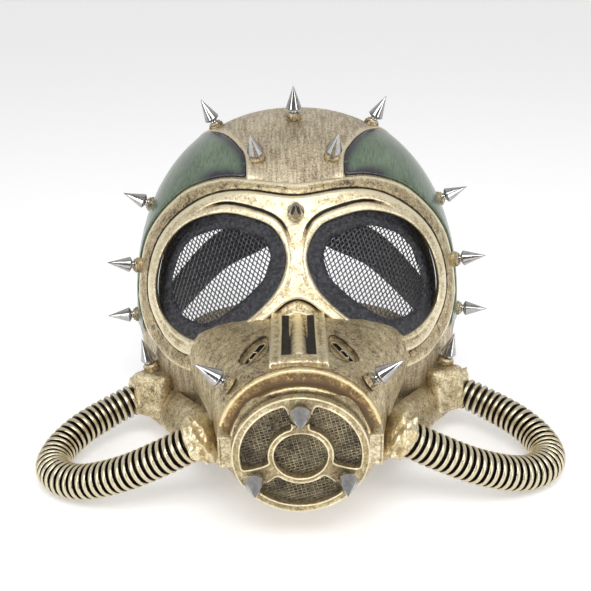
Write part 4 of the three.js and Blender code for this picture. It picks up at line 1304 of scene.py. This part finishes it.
@dataclass
class TemplePanel:
    """A green panel on the side of the dome."""

    thickness: float = 1.2
    lift: float = 0.3
    gap: float = 0.4
    rear_y: float = 1.4
    bottom_z: float = -41.0
    inner_rows: tuple[tuple[float, float], ...] = (
        (0.27, -0.8), (0.28, -0.68), (0.322, -0.6), (0.394, -0.47), (0.485, -0.3), (0.575, -0.09), (0.62, 0.015))
    scale: float = 95.0

    def inner_edge(self, count: int) -> Points:
        """Gives the right panel's inner edge on the dome."""
        rows = np.array(self.inner_rows) * [DOME.half_width, DOME.half_depth]
        flat = smooth_curve(rows, count)
        flat = flat[flat[:, 1] < self.rear_y]
        return np.stack([flat[:, 0], flat[:, 1], DOME.height(flat[:, 0], flat[:, 1])], axis=1)

    def to_flat(self, points: Points) -> Points:
        """Unrolls points of the dome into a flat drawing."""
        local = unit(points - [0, 0, DOME.centre_z])
        return np.stack([np.arctan2(local[:, 0], -local[:, 1]), np.arcsin(local[:, 2])], axis=1) * self.scale

    def from_flat(self, flat: Points, offset: float) -> Points:
        """Rolls a flat drawing's points back on the dome, raised by an offset."""
        turn, rise = flat[:, 0] / self.scale, flat[:, 1] / self.scale
        direction = np.stack([np.cos(rise) * np.sin(turn), -np.cos(rise) * np.cos(turn), np.sin(rise)], axis=1)
        return DOME.point(direction, offset)

    def outline(self) -> Points:
        """Gives the right panel's outline in the flat drawing."""
        inner = self.inner_edge(60)
        edge = grown(GOGGLES.mirrored(GOGGLES.edge_rows, 400), self.gap)
        edge = edge[(edge[:, 0] > 10) & (edge[:, 0] < 95)]
        edge = edge[np.argsort(np.arctan2(edge[:, 0] - 30, edge[:, 1] + 10))]
        edge3 = np.stack([edge[:, 0], DOME.front(edge[:, 0], edge[:, 1], 0), edge[:, 1]], axis=1)
        above = np.interp(inner[:, 0], edge[edge[:, 1] > 0][:, 0], edge[edge[:, 1] > 0][:, 1])
        inner = inner[inner[:, 2] > above]
        edge3 = edge3[(edge3[:, 0] > inner[0, 0]) & (edge3[:, 2] > self.bottom_z)]
        rear_top = inner[-1]
        heights = np.linspace(rear_top[2] - 1.5, self.bottom_z, 46)
        width = np.array([self.rear_x(z) for z in heights])
        rear = np.stack([width, np.full(46, self.rear_y), heights], axis=1)
        front_bottom = edge3[-1]
        ys = np.linspace(self.rear_y, front_bottom[1], 30)[1:-1]
        bottom = np.stack([[self.bottom_x(y) for y in ys], ys, np.full(28, self.bottom_z)], axis=1)
        line = np.concatenate([inner, rear, bottom, edge3[::-1]])
        flat = self.to_flat(line)
        return evenly(np.concatenate([flat, flat[:1]]), 341)[:-1]

    def rear_x(self, z: float) -> float:
        """Gives the dome's half width at the panel's rear edge and a height."""
        room = 1 - abs(self.rear_y / DOME.half_depth) ** 2.2 - abs((z - DOME.centre_z) / DOME.half_height) ** 2.2
        return DOME.half_width * max(room, 0) ** (1 / 2.2)

    def bottom_x(self, y: float) -> float:
        """Gives the dome's half width at the panel's bottom edge and a place back."""
        room = 1 - abs(y / DOME.half_depth) ** 2.2 - abs((self.bottom_z - DOME.centre_z) / DOME.half_height) ** 2.2
        return DOME.half_width * max(room, 0) ** (1 / 2.2)

    def build(self, side: Side) -> bpy.types.Object:
        """Models one panel with rounded edges."""
        outline = self.outline()
        skin = Skin()
        rows = []
        top = self.lift + self.thickness
        for inset, offset, wear_and_shade in ((0, self.lift, 0.0), (0, top - 0.5, 0.0), (0.15, top - 0.2, 0.0),
                                    (0.5, top, 0.05), (2.0, top, 0.12), (4.0, top, 0.25), (7.0, top, 0.4)):
            rows.append((grown(outline, -inset), offset, wear_and_shade))
        inner = self.to_flat(self.inner_edge(60))
        rings = []
        for flat, offset, wear_and_shade in rows:
            # near the inner edge the value drops towards 0, which the green finish paints dark: patina plus painted
            # shade
            near = np.exp(-(distance_to(flat, inner) / 7) ** 2)
            rings.append(skin.ring(self.from_flat(flat, offset) * [side.value, 1, 1],
                                   (0.5 - (0.5 - wear_and_shade) * near).tolist()))
        for low, high in zip(rings, rings[1:]):
            skin.band(low, high)
        flip = np.array([side.value, 1, 1])
        skin.fill([rings[-1]], [rows[-1][0]], 3.2, lambda flat: self.from_flat(flat, top) * flip, 0.5)
        skin.fill([rings[0]], [rows[0][0]], 5.0, lambda flat: self.from_flat(flat, self.lift) * flip, 0.5)
        return skin.build(f"green_panel_{side.word}", 40)


PANEL = TemplePanel()


@dataclass
class EyeGasket:
    """The lumpy black margin between an eye ring and the clear mesh."""

    width: float = 8.5
    thickness: float = 2.4
    depth: float = 1.0
    tuck: float = 0.9
    steps: int = 200

    def build(self, side: Side) -> bpy.types.Object:
        """Models one margin as a closed ring with an uneven face."""
        outer = GOGGLES.eye(side, self.tuck, self.steps)
        inner = GOGGLES.eye(side, -self.width, self.steps)
        turn = np.linspace(0, 2 * math.pi, self.steps, endpoint=False)
        wave = 0.7 * np.sin(turn * 3 + side.value) + 0.45 * np.sin(turn * 7 + 2) + 0.3 * np.sin(turn * 13)
        skin = Skin()
        rings = []
        for share, lift in ((0, -self.depth - 2.4), (0, -self.depth - 0.5), (0.06, -self.depth), (0.2, -self.depth + 0.1),
                            (0.34, -self.depth - 0.2), (0.46, -self.depth - 0.7), (0.6, -self.depth - 0.35),
                            (0.74, -self.depth - 0.6), (0.87, -self.depth - 1.3), (1.0, -self.depth - 2.3),
                            (1.0, -self.depth - 2.7)):
            flat = outer * (1 - share) + (inner + (inner - inner.mean(axis=0)) * (wave * 0.012)[:, None]) * share
            bulge = np.array([noise.noise(Vector((p[0] * 0.16, p[1] * 0.16, share * 2 + side.value)))
                              for p in flat])
            points = GOGGLES.on_face(flat, lift, -30)
            points[:, 1] -= bulge * 0.9 * (0.05 < share < 0.95)
            rings.append(skin.ring(points, 0.4))
        for low, high in zip(rings, rings[1:] + rings[:1]):
            skin.band(low, high)
        return skin.build(f"eye_margin_{side.word}", 60)


@dataclass
class WireMesh:
    """A woven wire mesh cut to an outline."""

    wire: float
    pitch: float
    second_pitch: float
    first: float
    second: float
    step: float
    sides: int = 5
    waviness: float = 0.32

    def build(self, name: str, outline: Points,
              place: Callable[[Points, np.ndarray], Points]) -> bpy.types.Object:
        """Models the mesh.

        Args:
            name: the piece's name.
            outline: the flat outline that the wires are cut to.
            place: gives the places of flat points at heights over the mesh's middle.

        Returns:
            The piece.
        """
        skin = Skin()
        middle = outline.mean(axis=0)
        reach = float(np.max(np.linalg.norm(outline - middle, axis=1))) + 1
        for family, (degrees, pitch) in enumerate(((self.first, self.pitch), (self.second, self.second_pitch))):
            along = np.array([math.sin(math.radians(degrees)), math.cos(math.radians(degrees))])
            across = np.array([along[1], -along[0]])
            for lane in np.arange(-reach, reach, pitch):
                spots = np.arange(-reach, reach, self.step)
                line = middle + across * lane + along * spots[:, None]
                keep = inside(line, outline)
                for run in np.split(np.arange(len(spots)), np.where(np.diff(keep.astype(int)) != 0)[0] + 1):
                    if keep[run[0]] and len(run) > 2:
                        self.wire_run(skin, line[run], spots[run], lane, family, place)
        return skin.build(name, 60)

    def wire_run(self, skin: Skin, line: Points, spots: np.ndarray, lane: float, family: int,
                 place: Callable[[Points, np.ndarray], Points]) -> None:
        """Adds one wire that weaves over and under those it crosses."""
        phase = math.pi * (spots / self.pitch + round(lane / self.pitch) + family)
        lift = np.cos(phase) * self.wire * self.waviness
        centres = place(line, lift)
        along = unit(np.gradient(centres, axis=0))
        up = unit(place(line, lift + 1) - centres)
        side = unit(np.cross(along, up))
        up = np.cross(side, along)
        rings = []
        for k in range(self.sides):
            turn = 2 * math.pi * k / self.sides
            rings.append(centres + (side * math.cos(turn) + up * math.sin(turn)) * self.wire / 2)
        rows = [skin.ring(points, 0.5) for points in np.stack(rings, axis=1)]
        for low, high in zip(rows, rows[1:]):
            skin.band(low, high)
        skin.cap(rows[0])
        skin.cap(rows[-1])


@dataclass
class FilterCap:
    """The round grille with a middle window and three kidney windows."""

    radius: float = 31.0
    thickness: float = 4.0
    window: float = 12.0
    web: float = 15.0
    outer_window: float = 27.2
    spoke_half: float = 5.6

    def kidney(self, number: int) -> Points:
        """Gives one kidney window's outline, with rounded ends."""
        start = math.pi / 2 + number * 2 * math.pi / 3
        end = start + 2 * math.pi / 3
        slack = lambda radius, half: math.asin(half / radius)
        outer, inner = self.outer_window, self.web
        wide, slim = self.spoke_half + 0.6, self.spoke_half - 2.2
        outer_turns = np.linspace(start + slack(outer, wide), end - slack(outer, wide), 14)
        inner_turns = np.linspace(end - slack(inner, slim), start + slack(inner, slim), 10)
        line = [(outer * math.cos(a), outer * math.sin(a)) for a in outer_turns]
        line += [(inner * math.cos(a), inner * math.sin(a)) for a in inner_turns]
        corners = rounded(np.array(line), 3)
        return evenly(np.concatenate([corners, corners[:1]]), 121)[:-1]

    def circle(self, radius: float, count: int) -> Points:
        """Gives a circle's points."""
        turns = np.linspace(0, 2 * math.pi, count, endpoint=False)
        return np.stack([np.cos(turns), np.sin(turns)], axis=1) * radius

    def put(self, flat: Points, back: float) -> Points:
        """Puts flat points at a distance behind the cap's front."""
        return MUZZLE.out(np.stack([flat[:, 0], np.full(len(flat), back), flat[:, 1]], axis=1))

    def build(self) -> bpy.types.Object:
        """Models the grille with a bead along every edge."""
        skin = Skin()
        loops = [(self.circle(self.radius, 220), -1), (self.circle(self.window, 120), 1)]
        loops += [(self.kidney(i), 1) for i in range(3)]
        profile = [(0.0, self.thickness - 0.3, 0.15), (0.0, 1.0, 0.3), (0.06, 0.5, 0.7), (0.25, 0.12, 1.0),
                   (0.5, 0.05, 1.0), (0.75, 0.2, 0.75), (1.05, 0.5, 0.4), (1.4, 0.6, 0.38)]
        tops, flats, backs, back_flats = [], [], [], []
        for outline, way in loops:
            rows = []
            for inset, back, wear_and_shade in profile:
                rows.append(skin.ring(self.put(grown(outline, way * inset), back), wear_and_shade))
            for low, high in zip(rows, rows[1:]):
                skin.band(low, high)
            tops.append(rows[-1])
            flats.append(grown(outline, way * profile[-1][0]))
            backs.append(rows[0])
            back_flats.append(outline)
        skin.fill(tops, flats, 1.6, lambda flat: self.put(flat, 0.6), 0.4)
        skin.fill(backs, back_flats, 3.0, lambda flat: self.put(flat, self.thickness - 0.3), 0.3)
        return skin.build("filter_grille", 50)


# Hoses, strap and spikes

@dataclass
class Hose:
    """A ribbed flexible metal hose from the cheek to the muzzle."""

    radius: float = 9.1
    groove: float = 1.7
    pitch: float = 3.95
    sides: int = 40
    route: tuple[tuple[float, float, float], ...] = (
        (91.6, -50.6, -79), (100.5, -55.5, -82.5), (110.8, -61.9, -87), (121.9, -72.7, -92.3),
        (129.8, -85, -98.8), (131, -98, -103.8), (124, -110.5, -105.9), (111, -120, -105.4),
        (88.8, -129, -98.7), (67.9, -134.8, -89), (49.5, -139, -79))

    def line(self, side: Side, count: int) -> Points:
        """Gives the hose's middle line."""
        return smooth_curve(np.array(self.route) * [side.value, 1, 1], count)

    def build(self, side: Side) -> bpy.types.Object:
        """Models the hose, rib by rib."""
        rough = self.line(side, 400)
        length = float(np.sum(np.linalg.norm(np.diff(rough, axis=0), axis=1)))
        ribs = round(length / self.pitch)
        # the rib profile: place along the rib, sink and value; the grooves' low values give dark paint plus painted
        # shade
        profile = [(0.0, -1.0, 0.0), (0.13, -0.98, 0.0), (0.2, -0.45, 0.2), (0.28, -0.14, 0.7), (0.4, 0.0, 1.0),
                   (0.58, 0.0, 1.0), (0.7, -0.14, 0.7), (0.78, -0.45, 0.2), (0.85, -0.98, 0.0)]
        spots, depth, wear_and_shade = [], [], []
        for rib in range(ribs):
            for share, sink, tone in profile:
                spots.append((rib + share) / ribs)
                depth.append(self.radius + sink * self.groove)
                wear_and_shade.append(tone)
        spots.append(1.0)
        depth.append(self.radius - self.groove)
        wear_and_shade.append(0.0)
        lengths = np.linspace(0, 1, len(rough))
        centres = np.stack([np.interp(spots, lengths, rough[:, k]) for k in range(3)], axis=1)
        slopes = unit(np.gradient(rough, axis=0))
        along = unit(np.stack([np.interp(spots, lengths, slopes[:, k]) for k in range(3)], axis=1))
        side_way = np.cross(along[0], [0, 0, 1.0])
        rings = []
        for centre, way, radius in zip(centres, along, depth):
            side_way = unit(side_way - way * np.dot(side_way, way))
            up = np.cross(way, side_way)
            turns = np.linspace(0, 2 * math.pi, self.sides, endpoint=False)[:, None]
            rings.append(centre + (side_way * np.cos(turns) + up * np.sin(turns)) * radius)
        skin = Skin()
        skin.loft(rings, wear_and_shade)
        return skin.build(f"ribbed_hose_{side.word}", 60)


@dataclass
class HeadStrap:
    """The black elastic band behind the head."""

    width: float = 25.0
    thickness: float = 1.5
    steps: int = 180
    route: tuple[tuple[float, float, float], ...] = (
        (0, 74, 18), (31, 68, 4), (52, 58, -6), (72, 40, -25), (85.3, 15, -42), (88.4, -8, -50))

    def build(self) -> bpy.types.Object:
        """Models the band with rounded edges, and its lengthwise and crosswise measures."""
        right = np.array(self.route)
        left = right[1:][::-1] * [-1, 1, 1]
        centres = smooth_curve(np.concatenate([left, right]), self.steps)
        along = unit(np.gradient(centres, axis=0))
        out = unit(np.stack([centres[:, 0] / DOME.half_width, centres[:, 1] / DOME.half_depth,
                             np.zeros(self.steps)], axis=1))
        wide = unit(np.cross(along, out))
        thick = unit(np.cross(wide, along))
        section = [(-1, -0.5), (-0.97, -1), (-0.5, -1), (0, -1), (0.5, -1), (0.97, -1), (1, -0.5), (1, 0.5),
                   (0.97, 1), (0.5, 1), (0, 1), (-0.5, 1), (-0.97, 1), (-1, 0.5)]
        rings = [np.array([centre + w * a * self.width / 2 + t * d * self.thickness / 2 for a, d in section])
                 for centre, w, t in zip(centres, wide, thick)]
        skin = Skin()
        skin.loft(rings)
        lengths = np.concatenate([[0], np.cumsum(np.linalg.norm(np.diff(centres, axis=0), axis=1))])
        along_mm = np.repeat(lengths, len(section)).tolist() + [0.0, float(lengths[-1])]
        across_mm = [a * self.width / 2 for a, _ in section] * self.steps + [0.0, 0.0]
        return self.measured(skin, along_mm, across_mm)

    def measured(self, skin: Skin, along_mm: list[float], across_mm: list[float]) -> bpy.types.Object:
        """Builds the band with both measures stored on its corners."""
        mesh = bpy.data.meshes.new("elastic_strap")
        mesh.from_pydata(skin.points, [], skin.faces)
        for name, values in (("along_mm", along_mm), ("across_mm", across_mm)):
            mesh.attributes.new(name, "FLOAT", "POINT").data.foreach_set("value", values)
        strap = bpy.data.objects.new("elastic_strap", mesh)
        bpy.context.collection.objects.link(strap)
        return finished(strap, 50)


@dataclass
class Spikes:
    """The screwed spikes, modelled once for each kind and copied to each CAD node's place."""

    radius: float = 4.4
    length: float = 18.0
    cone_radius: float = 5.2
    cone_length: float = 13.0
    boss_radius: float = 4.9
    boss_height: float = 1.2
    gap: float = 0.3
    cap_ring: float = 23.6
    dome_rows: tuple[tuple[str, float, float, float, bool], ...] = (
        ("crown", 0, 69.5, 0, False), ("crown_side", 65, 64.5, 0, True), ("forehead", 16.7, 50.8, 0, True),
        ("temple", 80, 34.5, 0, True), ("side_upper", 66.6, 14.6, 2.0, True), ("side_lower", 78, -3.4, 0, True))
    form_rows: tuple[tuple[str, tuple[float, float, float], float, float, bool], ...] = (
        ("cheek", (84, -53, -62.4), 40, 70, True), ("muzzle", (31.5, -157.5, -48), 84, 34, True),
        ("brow", (0, -88.5, 26), 0, 20, False))

    def turned(self, name: str, sides: int, steps: Sequence[tuple[float, float]],
               bevel: float) -> bpy.types.Object:
        """Models a turned form from the base up.

        Args:
            name: the form's name.
            sides: how many sides it has.
            steps: the radius and height of each step, the last one the tip.
            bevel: the width of its rounded edges.

        Returns:
            The form, standing on the zero along +Z, in millimetres.
        """
        bpy.ops.object.select_all(action="DESELECT")
        radius, height = steps[0]
        bpy.ops.mesh.primitive_circle_add(vertices=sides, radius=radius, fill_type="NGON", location=(0, 0, 0))
        form = bpy.context.object
        form.name = name
        bpy.ops.object.mode_set(mode="EDIT")
        bpy.ops.mesh.select_mode(type="FACE")
        bpy.ops.mesh.select_all(action="SELECT")
        for next_radius, next_height in steps[1:]:
            bpy.ops.mesh.extrude_region_move(
                TRANSFORM_OT_translate={"value": (0, 0, next_height - height)})
            share = max(next_radius, 0.02) / radius
            bpy.ops.transform.resize(value=(share, share, 1), center_override=(0, 0, next_height))
            radius, height = max(next_radius, 0.02), next_height
        bpy.ops.object.mode_set(mode="OBJECT")
        if bevel:
            edges = form.modifiers.new("edges", "BEVEL")
            edges.width, edges.segments, edges.limit_method = bevel, 2, "ANGLE"
            edges.angle_limit = math.radians(34)
            apply_all(form)
        return form

    def tree(self) -> bpy.types.Object:
        """Models the cone on a neck over two flanges."""
        r, h = self.radius, self.length
        return self.turned("spike_form", 48, (
            (0.8 * r, 0), (0.88 * r, 0.015 * h), (0.88 * r, 0.06 * h), (0.6 * r, 0.075 * h), (0.58 * r, 0.095 * h),
            (0.78 * r, 0.11 * h), (0.78 * r, 0.14 * h), (0.52 * r, 0.16 * h), (0.48 * r, 0.2 * h),
            (0.78 * r, 0.235 * h), (0.98 * r, 0.27 * h), (r, 0.29 * h), (0.5 * r, 0.645 * h), (0.0, h)), 0.1)

    def cone(self) -> bpy.types.Object:
        """Models the wide cone with its fine facets."""
        r, h = self.cone_radius, self.cone_length
        return self.turned("cap_cone_form", 18, (
            (0.72 * r, 0), (0.74 * r, 0.16 * h), (0.96 * r, 0.2 * h), (r, 0.27 * h), (0.97 * r, 0.3 * h), (0.0, h)), 0.08)

    def boss(self) -> bpy.types.Object:
        """Models the low round boss under a spike."""
        return self.turned("boss_form", 40, (
            (self.boss_radius - 0.5, -2.5), (self.boss_radius - 0.5, 0.0), (self.boss_radius - 0.9, 0.25),
            (self.boss_radius - 1.3, 0.7), (self.boss_radius - 1.4, self.boss_height), (0.5, self.boss_height)), 0)

    def places(self) -> list[tuple[str, Points, Points]]:
        """Gives each screwed spike's name, base and direction."""
        found = []
        for name, azimuth, elevation, proud, pair in self.dome_rows:
            for side in ((Side.LEFT, Side.RIGHT) if pair else (None,)):
                turn = azimuth * (side.value if side else 1)
                base = DOME.point(aim(turn, elevation), proud)
                found.append((f"{name}_{side.word}" if side else name, base, DOME.normal(base)))
        for name, base, azimuth, elevation, pair in self.form_rows:
            for side in ((Side.LEFT, Side.RIGHT) if pair else (None,)):
                flip = side.value if side else 1
                found.append((f"{name}_{side.word}" if side else name, np.array(base, float) * [flip, 1, 1],
                              aim(flip * azimuth, elevation)))
        return found

    def stood(self, form: bpy.types.Object, name: str, base: Points, way: Points, angle: float) -> bpy.types.Object:
        """Copies a form to a place, with its own mesh."""
        piece = bpy.data.objects.new(name, form.data.copy())
        bpy.context.collection.objects.link(piece)
        turn = Vector(way).to_track_quat("Z", "Y").to_matrix().to_4x4()
        piece.data.transform(Matrix.Translation(Vector(base)) @ turn)
        return finished(piece, angle)

    def build(self, finishes: Finishes) -> None:
        """Stands every spike and its boss."""
        tree, cone, boss = self.tree(), self.cone(), self.boss()
        for name, base, way in self.places():
            seat = base + way * (self.boss_height + self.gap)
            adopt(self.stood(tree, f"screwed_spike_{name}", seat, way, 32), finishes.chrome, "spike_metal",
                  f"spike_{name}")
            adopt(with_wear_and_shade(self.stood(boss, f"boss_{name}", base, way, 32), 0.3), finishes.gold, "gold_shell",
                  "mask_shell")
        forward = MUZZLE.out(np.array([[0, -1.0, 0]]))[0] - MUZZLE.out(np.array([[0, 0, 0.0]]))[0]
        for number, name in enumerate(("cap_top", "cap_left", "cap_right")):
            turn = math.pi / 2 + number * 2 * math.pi / 3
            base = MUZZLE.out(np.array([
                [math.cos(turn) * self.cap_ring, -self.gap, math.sin(turn) * self.cap_ring]]))[0]
            adopt(self.stood(cone, f"wide_cone_{name}", base, forward, 12), finishes.chrome, "spike_metal",
                  f"spike_{name}")
        for form in (tree, cone, boss):
            bpy.data.objects.remove(form, do_unlink=True)


# Studio

@dataclass
class Studio:
    """Pale floor, soft lights and the camera at the photograph's angle."""

    photo_size: float = 591.0
    focal_px: float = 900.0
    eye: tuple[float, float, float] = (-1.0, -557.6, 49.1)
    pitch: float = math.radians(8.0)
    roll: float = math.radians(1.1)
    sensor: float = 36.0

    def camera(self) -> None:
        """Sets the camera up."""
        data = bpy.data.cameras.new("camera")
        data.sensor_width, data.lens = self.sensor, self.sensor * self.focal_px / self.photo_size
        data.clip_start, data.clip_end = 0.01, 100
        camera = bpy.data.objects.new("camera", data)
        bpy.context.collection.objects.link(camera)
        down = self.pitch + REST_LEAN
        ahead = Vector((0, math.cos(down), -math.sin(down)))
        up = Vector((0, math.sin(down), math.cos(down)))
        right = Vector((1, 0, 0)) * math.cos(self.roll) - up * math.sin(self.roll)
        over = (-ahead).cross(right)
        turn = Matrix((right, over, -ahead)).transposed().to_4x4()
        camera.matrix_world = Matrix.Translation(FACE_TO_ROW @ Vector(self.eye)) @ turn
        bpy.context.scene.camera = camera

    def softbox(self, name: str, place: Sequence[float], aim_at: Sequence[float], size: tuple[float, float],
                power: float) -> None:
        """Adds one wide soft light."""
        data = bpy.data.lights.new(name, "AREA")
        data.shape, data.size, data.size_y, data.energy = "RECTANGLE", size[0], size[1], power
        light = bpy.data.objects.new(name, data)
        bpy.context.collection.objects.link(light)
        way = Vector(aim_at) - Vector(place)
        light.matrix_world = Matrix.Translation(place) @ way.to_track_quat("-Z", "Y").to_matrix().to_4x4()

    def floor(self) -> None:
        """Lays the pale floor."""
        bpy.ops.object.select_all(action="DESELECT")
        bpy.ops.mesh.primitive_plane_add(size=40, location=(0, 0, -0.0001))
        plane = bpy.context.object
        plane.name = "studio_floor"
        plane.data.materials.append(PaleFloor().make())

    def world(self) -> None:
        """Makes the surroundings: bright above and behind, dim on the camera's side."""
        world = bpy.data.worlds.new("studio")
        world.use_nodes = True
        bpy.context.scene.world = world
        nodes, links = world.node_tree.nodes, world.node_tree.links
        source = nodes.new("ShaderNodeTexCoord")
        split = nodes.new("ShaderNodeSeparateXYZ")
        ramp = nodes.new("ShaderNodeMapRange")
        ramp.interpolation_type = "SMOOTHSTEP"
        links.new(source.outputs["Generated"], split.inputs[0])
        links.new(split.outputs["Y"], ramp.inputs["Value"])
        ramp.inputs["From Min"].default_value, ramp.inputs["From Max"].default_value = -0.9, 0.5
        ramp.inputs["To Min"].default_value, ramp.inputs["To Max"].default_value = 0.22, 0.75
        background = nodes["Background"]
        background.inputs["Color"].default_value = (1, 1, 1, 1)
        links.new(ramp.outputs[0], background.inputs["Strength"])

    def build(self) -> None:
        """Sets up the whole studio."""
        self.camera()
        self.floor()
        self.world()
        self.softbox("front_light", (0.05, -0.8, 1.1), (0, -0.02, 0.08), (1.0, 0.5), 9)
        self.softbox("left_light", (-0.95, -1.05, 0.45), (0, 0, 0.09), (0.35, 0.9), 5.5)
        self.softbox("right_light", (1.0, -1.0, 0.45), (0, 0, 0.09), (0.35, 0.9), 5)
        bpy.context.scene.view_settings.view_transform = "Standard"


# Assembly

def build_shell(finishes: Finishes) -> None:
    """Builds every piece that stands for the moulded shell."""
    shell = "mask_shell"
    adopt(DomeShell().build(), finishes.gold_dome, "gold_shell", shell)
    adopt(GoggleFrame().build(), finishes.gold, "gold_shell", shell)
    muzzle = MuzzleShell()
    drum = muzzle.drum()
    for side in Side:
        room, slats = muzzle.vent(side)
        settle(room)
        cut(drum, room)
        for slat in slats:
            adopt(slat, finishes.gold, "gold_shell", shell)
    only(drum)
    bpy.ops.object.shade_smooth_by_angle(angle=math.radians(35))
    adopt(drum, finishes.gold, "gold_shell", shell)
    adopt(muzzle.collar(), finishes.gold_collar, "gold_shell", shell)
    adopt(muzzle.nose_plate(), finishes.gold, "gold_shell", shell)
    seat, hose = HoseSeat(), Hose()
    for side in Side:
        adopt(muzzle.tabs(side), finishes.gold, "gold_shell", shell)
        adopt(PanelRidge().build(side), finishes.gold_dome, "gold_shell", shell)
        adopt(seat.block(side), finishes.gold, "gold_shell", shell)
        adopt(seat.bar(side), finishes.gold, "gold_shell", shell)
        line = hose.line(side, 200)
        for word, end, away in (("rear", line[0], line[0] - line[1]), ("front", line[-1], line[-1] - line[-2])):
            bead = seat.bead(side, end, unit(away), f"hose_bead_{word}_{side.word}",
                             side.value * 3.1 + len(word))
            adopt(bead, finishes.gold_glue, "gold_shell", shell)


def build_eyes(finishes: Finishes) -> None:
    """Builds the margins and the wire mesh of both eyes."""
    for side in Side:
        adopt(EyeGasket().build(side), finishes.slate, "gasket", f"eye_gasket_{side.word}")
        tilt = 16 * side.value
        mesh = WireMesh(wire=0.7, pitch=2.07, second_pitch=2.07, first=tilt - 34, second=tilt + 34, step=0.85)
        outline = GOGGLES.eye(side, -5.5, 160)
        depth = -1 - 2.4 - 0.3 - 0.45

        def on_eye(flat: Points, lift: np.ndarray) -> Points:
            points = GOGGLES.on_face(flat, depth, -30)
            points[:, 1] -= lift
            return points

        adopt(mesh.build(f"eye_wire_{side.word}", outline, on_eye), finishes.eye_wire, "eye_wire",
              f"eye_mesh_{side.word}")


def build_filter(finishes: Finishes) -> None:
    """Builds the grille and the wire mesh behind it."""
    cap = FilterCap()
    adopt(cap.build(), finishes.gold_cap, "gold_shell", "filter_cap")
    mesh = WireMesh(wire=0.46, pitch=1.5, second_pitch=1.9, first=73, second=-12, step=0.5)

    def on_filter(flat: Points, lift: np.ndarray) -> Points:
        return MUZZLE.out(np.stack([flat[:, 0], 4.75 - lift, flat[:, 1]], axis=1))

    adopt(mesh.build("filter_wire_mesh", cap.circle(28.0, 160), on_filter), finishes.filter_wire, "filter_wire",
          "filter_mesh")


def main() -> None:
    """Builds the mask piece by piece and sets up the studio."""
    Studio().build()
    finishes = Finishes()
    build_shell(finishes)
    for side in Side:
        adopt(PANEL.build(side), finishes.green, "green_panel", f"temple_panel_{side.word}")
    build_eyes(finishes)
    build_filter(finishes)
    for side in Side:
        adopt(Hose().build(side), finishes.hose, "hose_metal", f"hose_{side.word}")
    adopt(HeadStrap().build(), finishes.elastic, "elastic", "head_strap")
    Spikes().build(finishes)


if __name__ == "__main__":
    main()
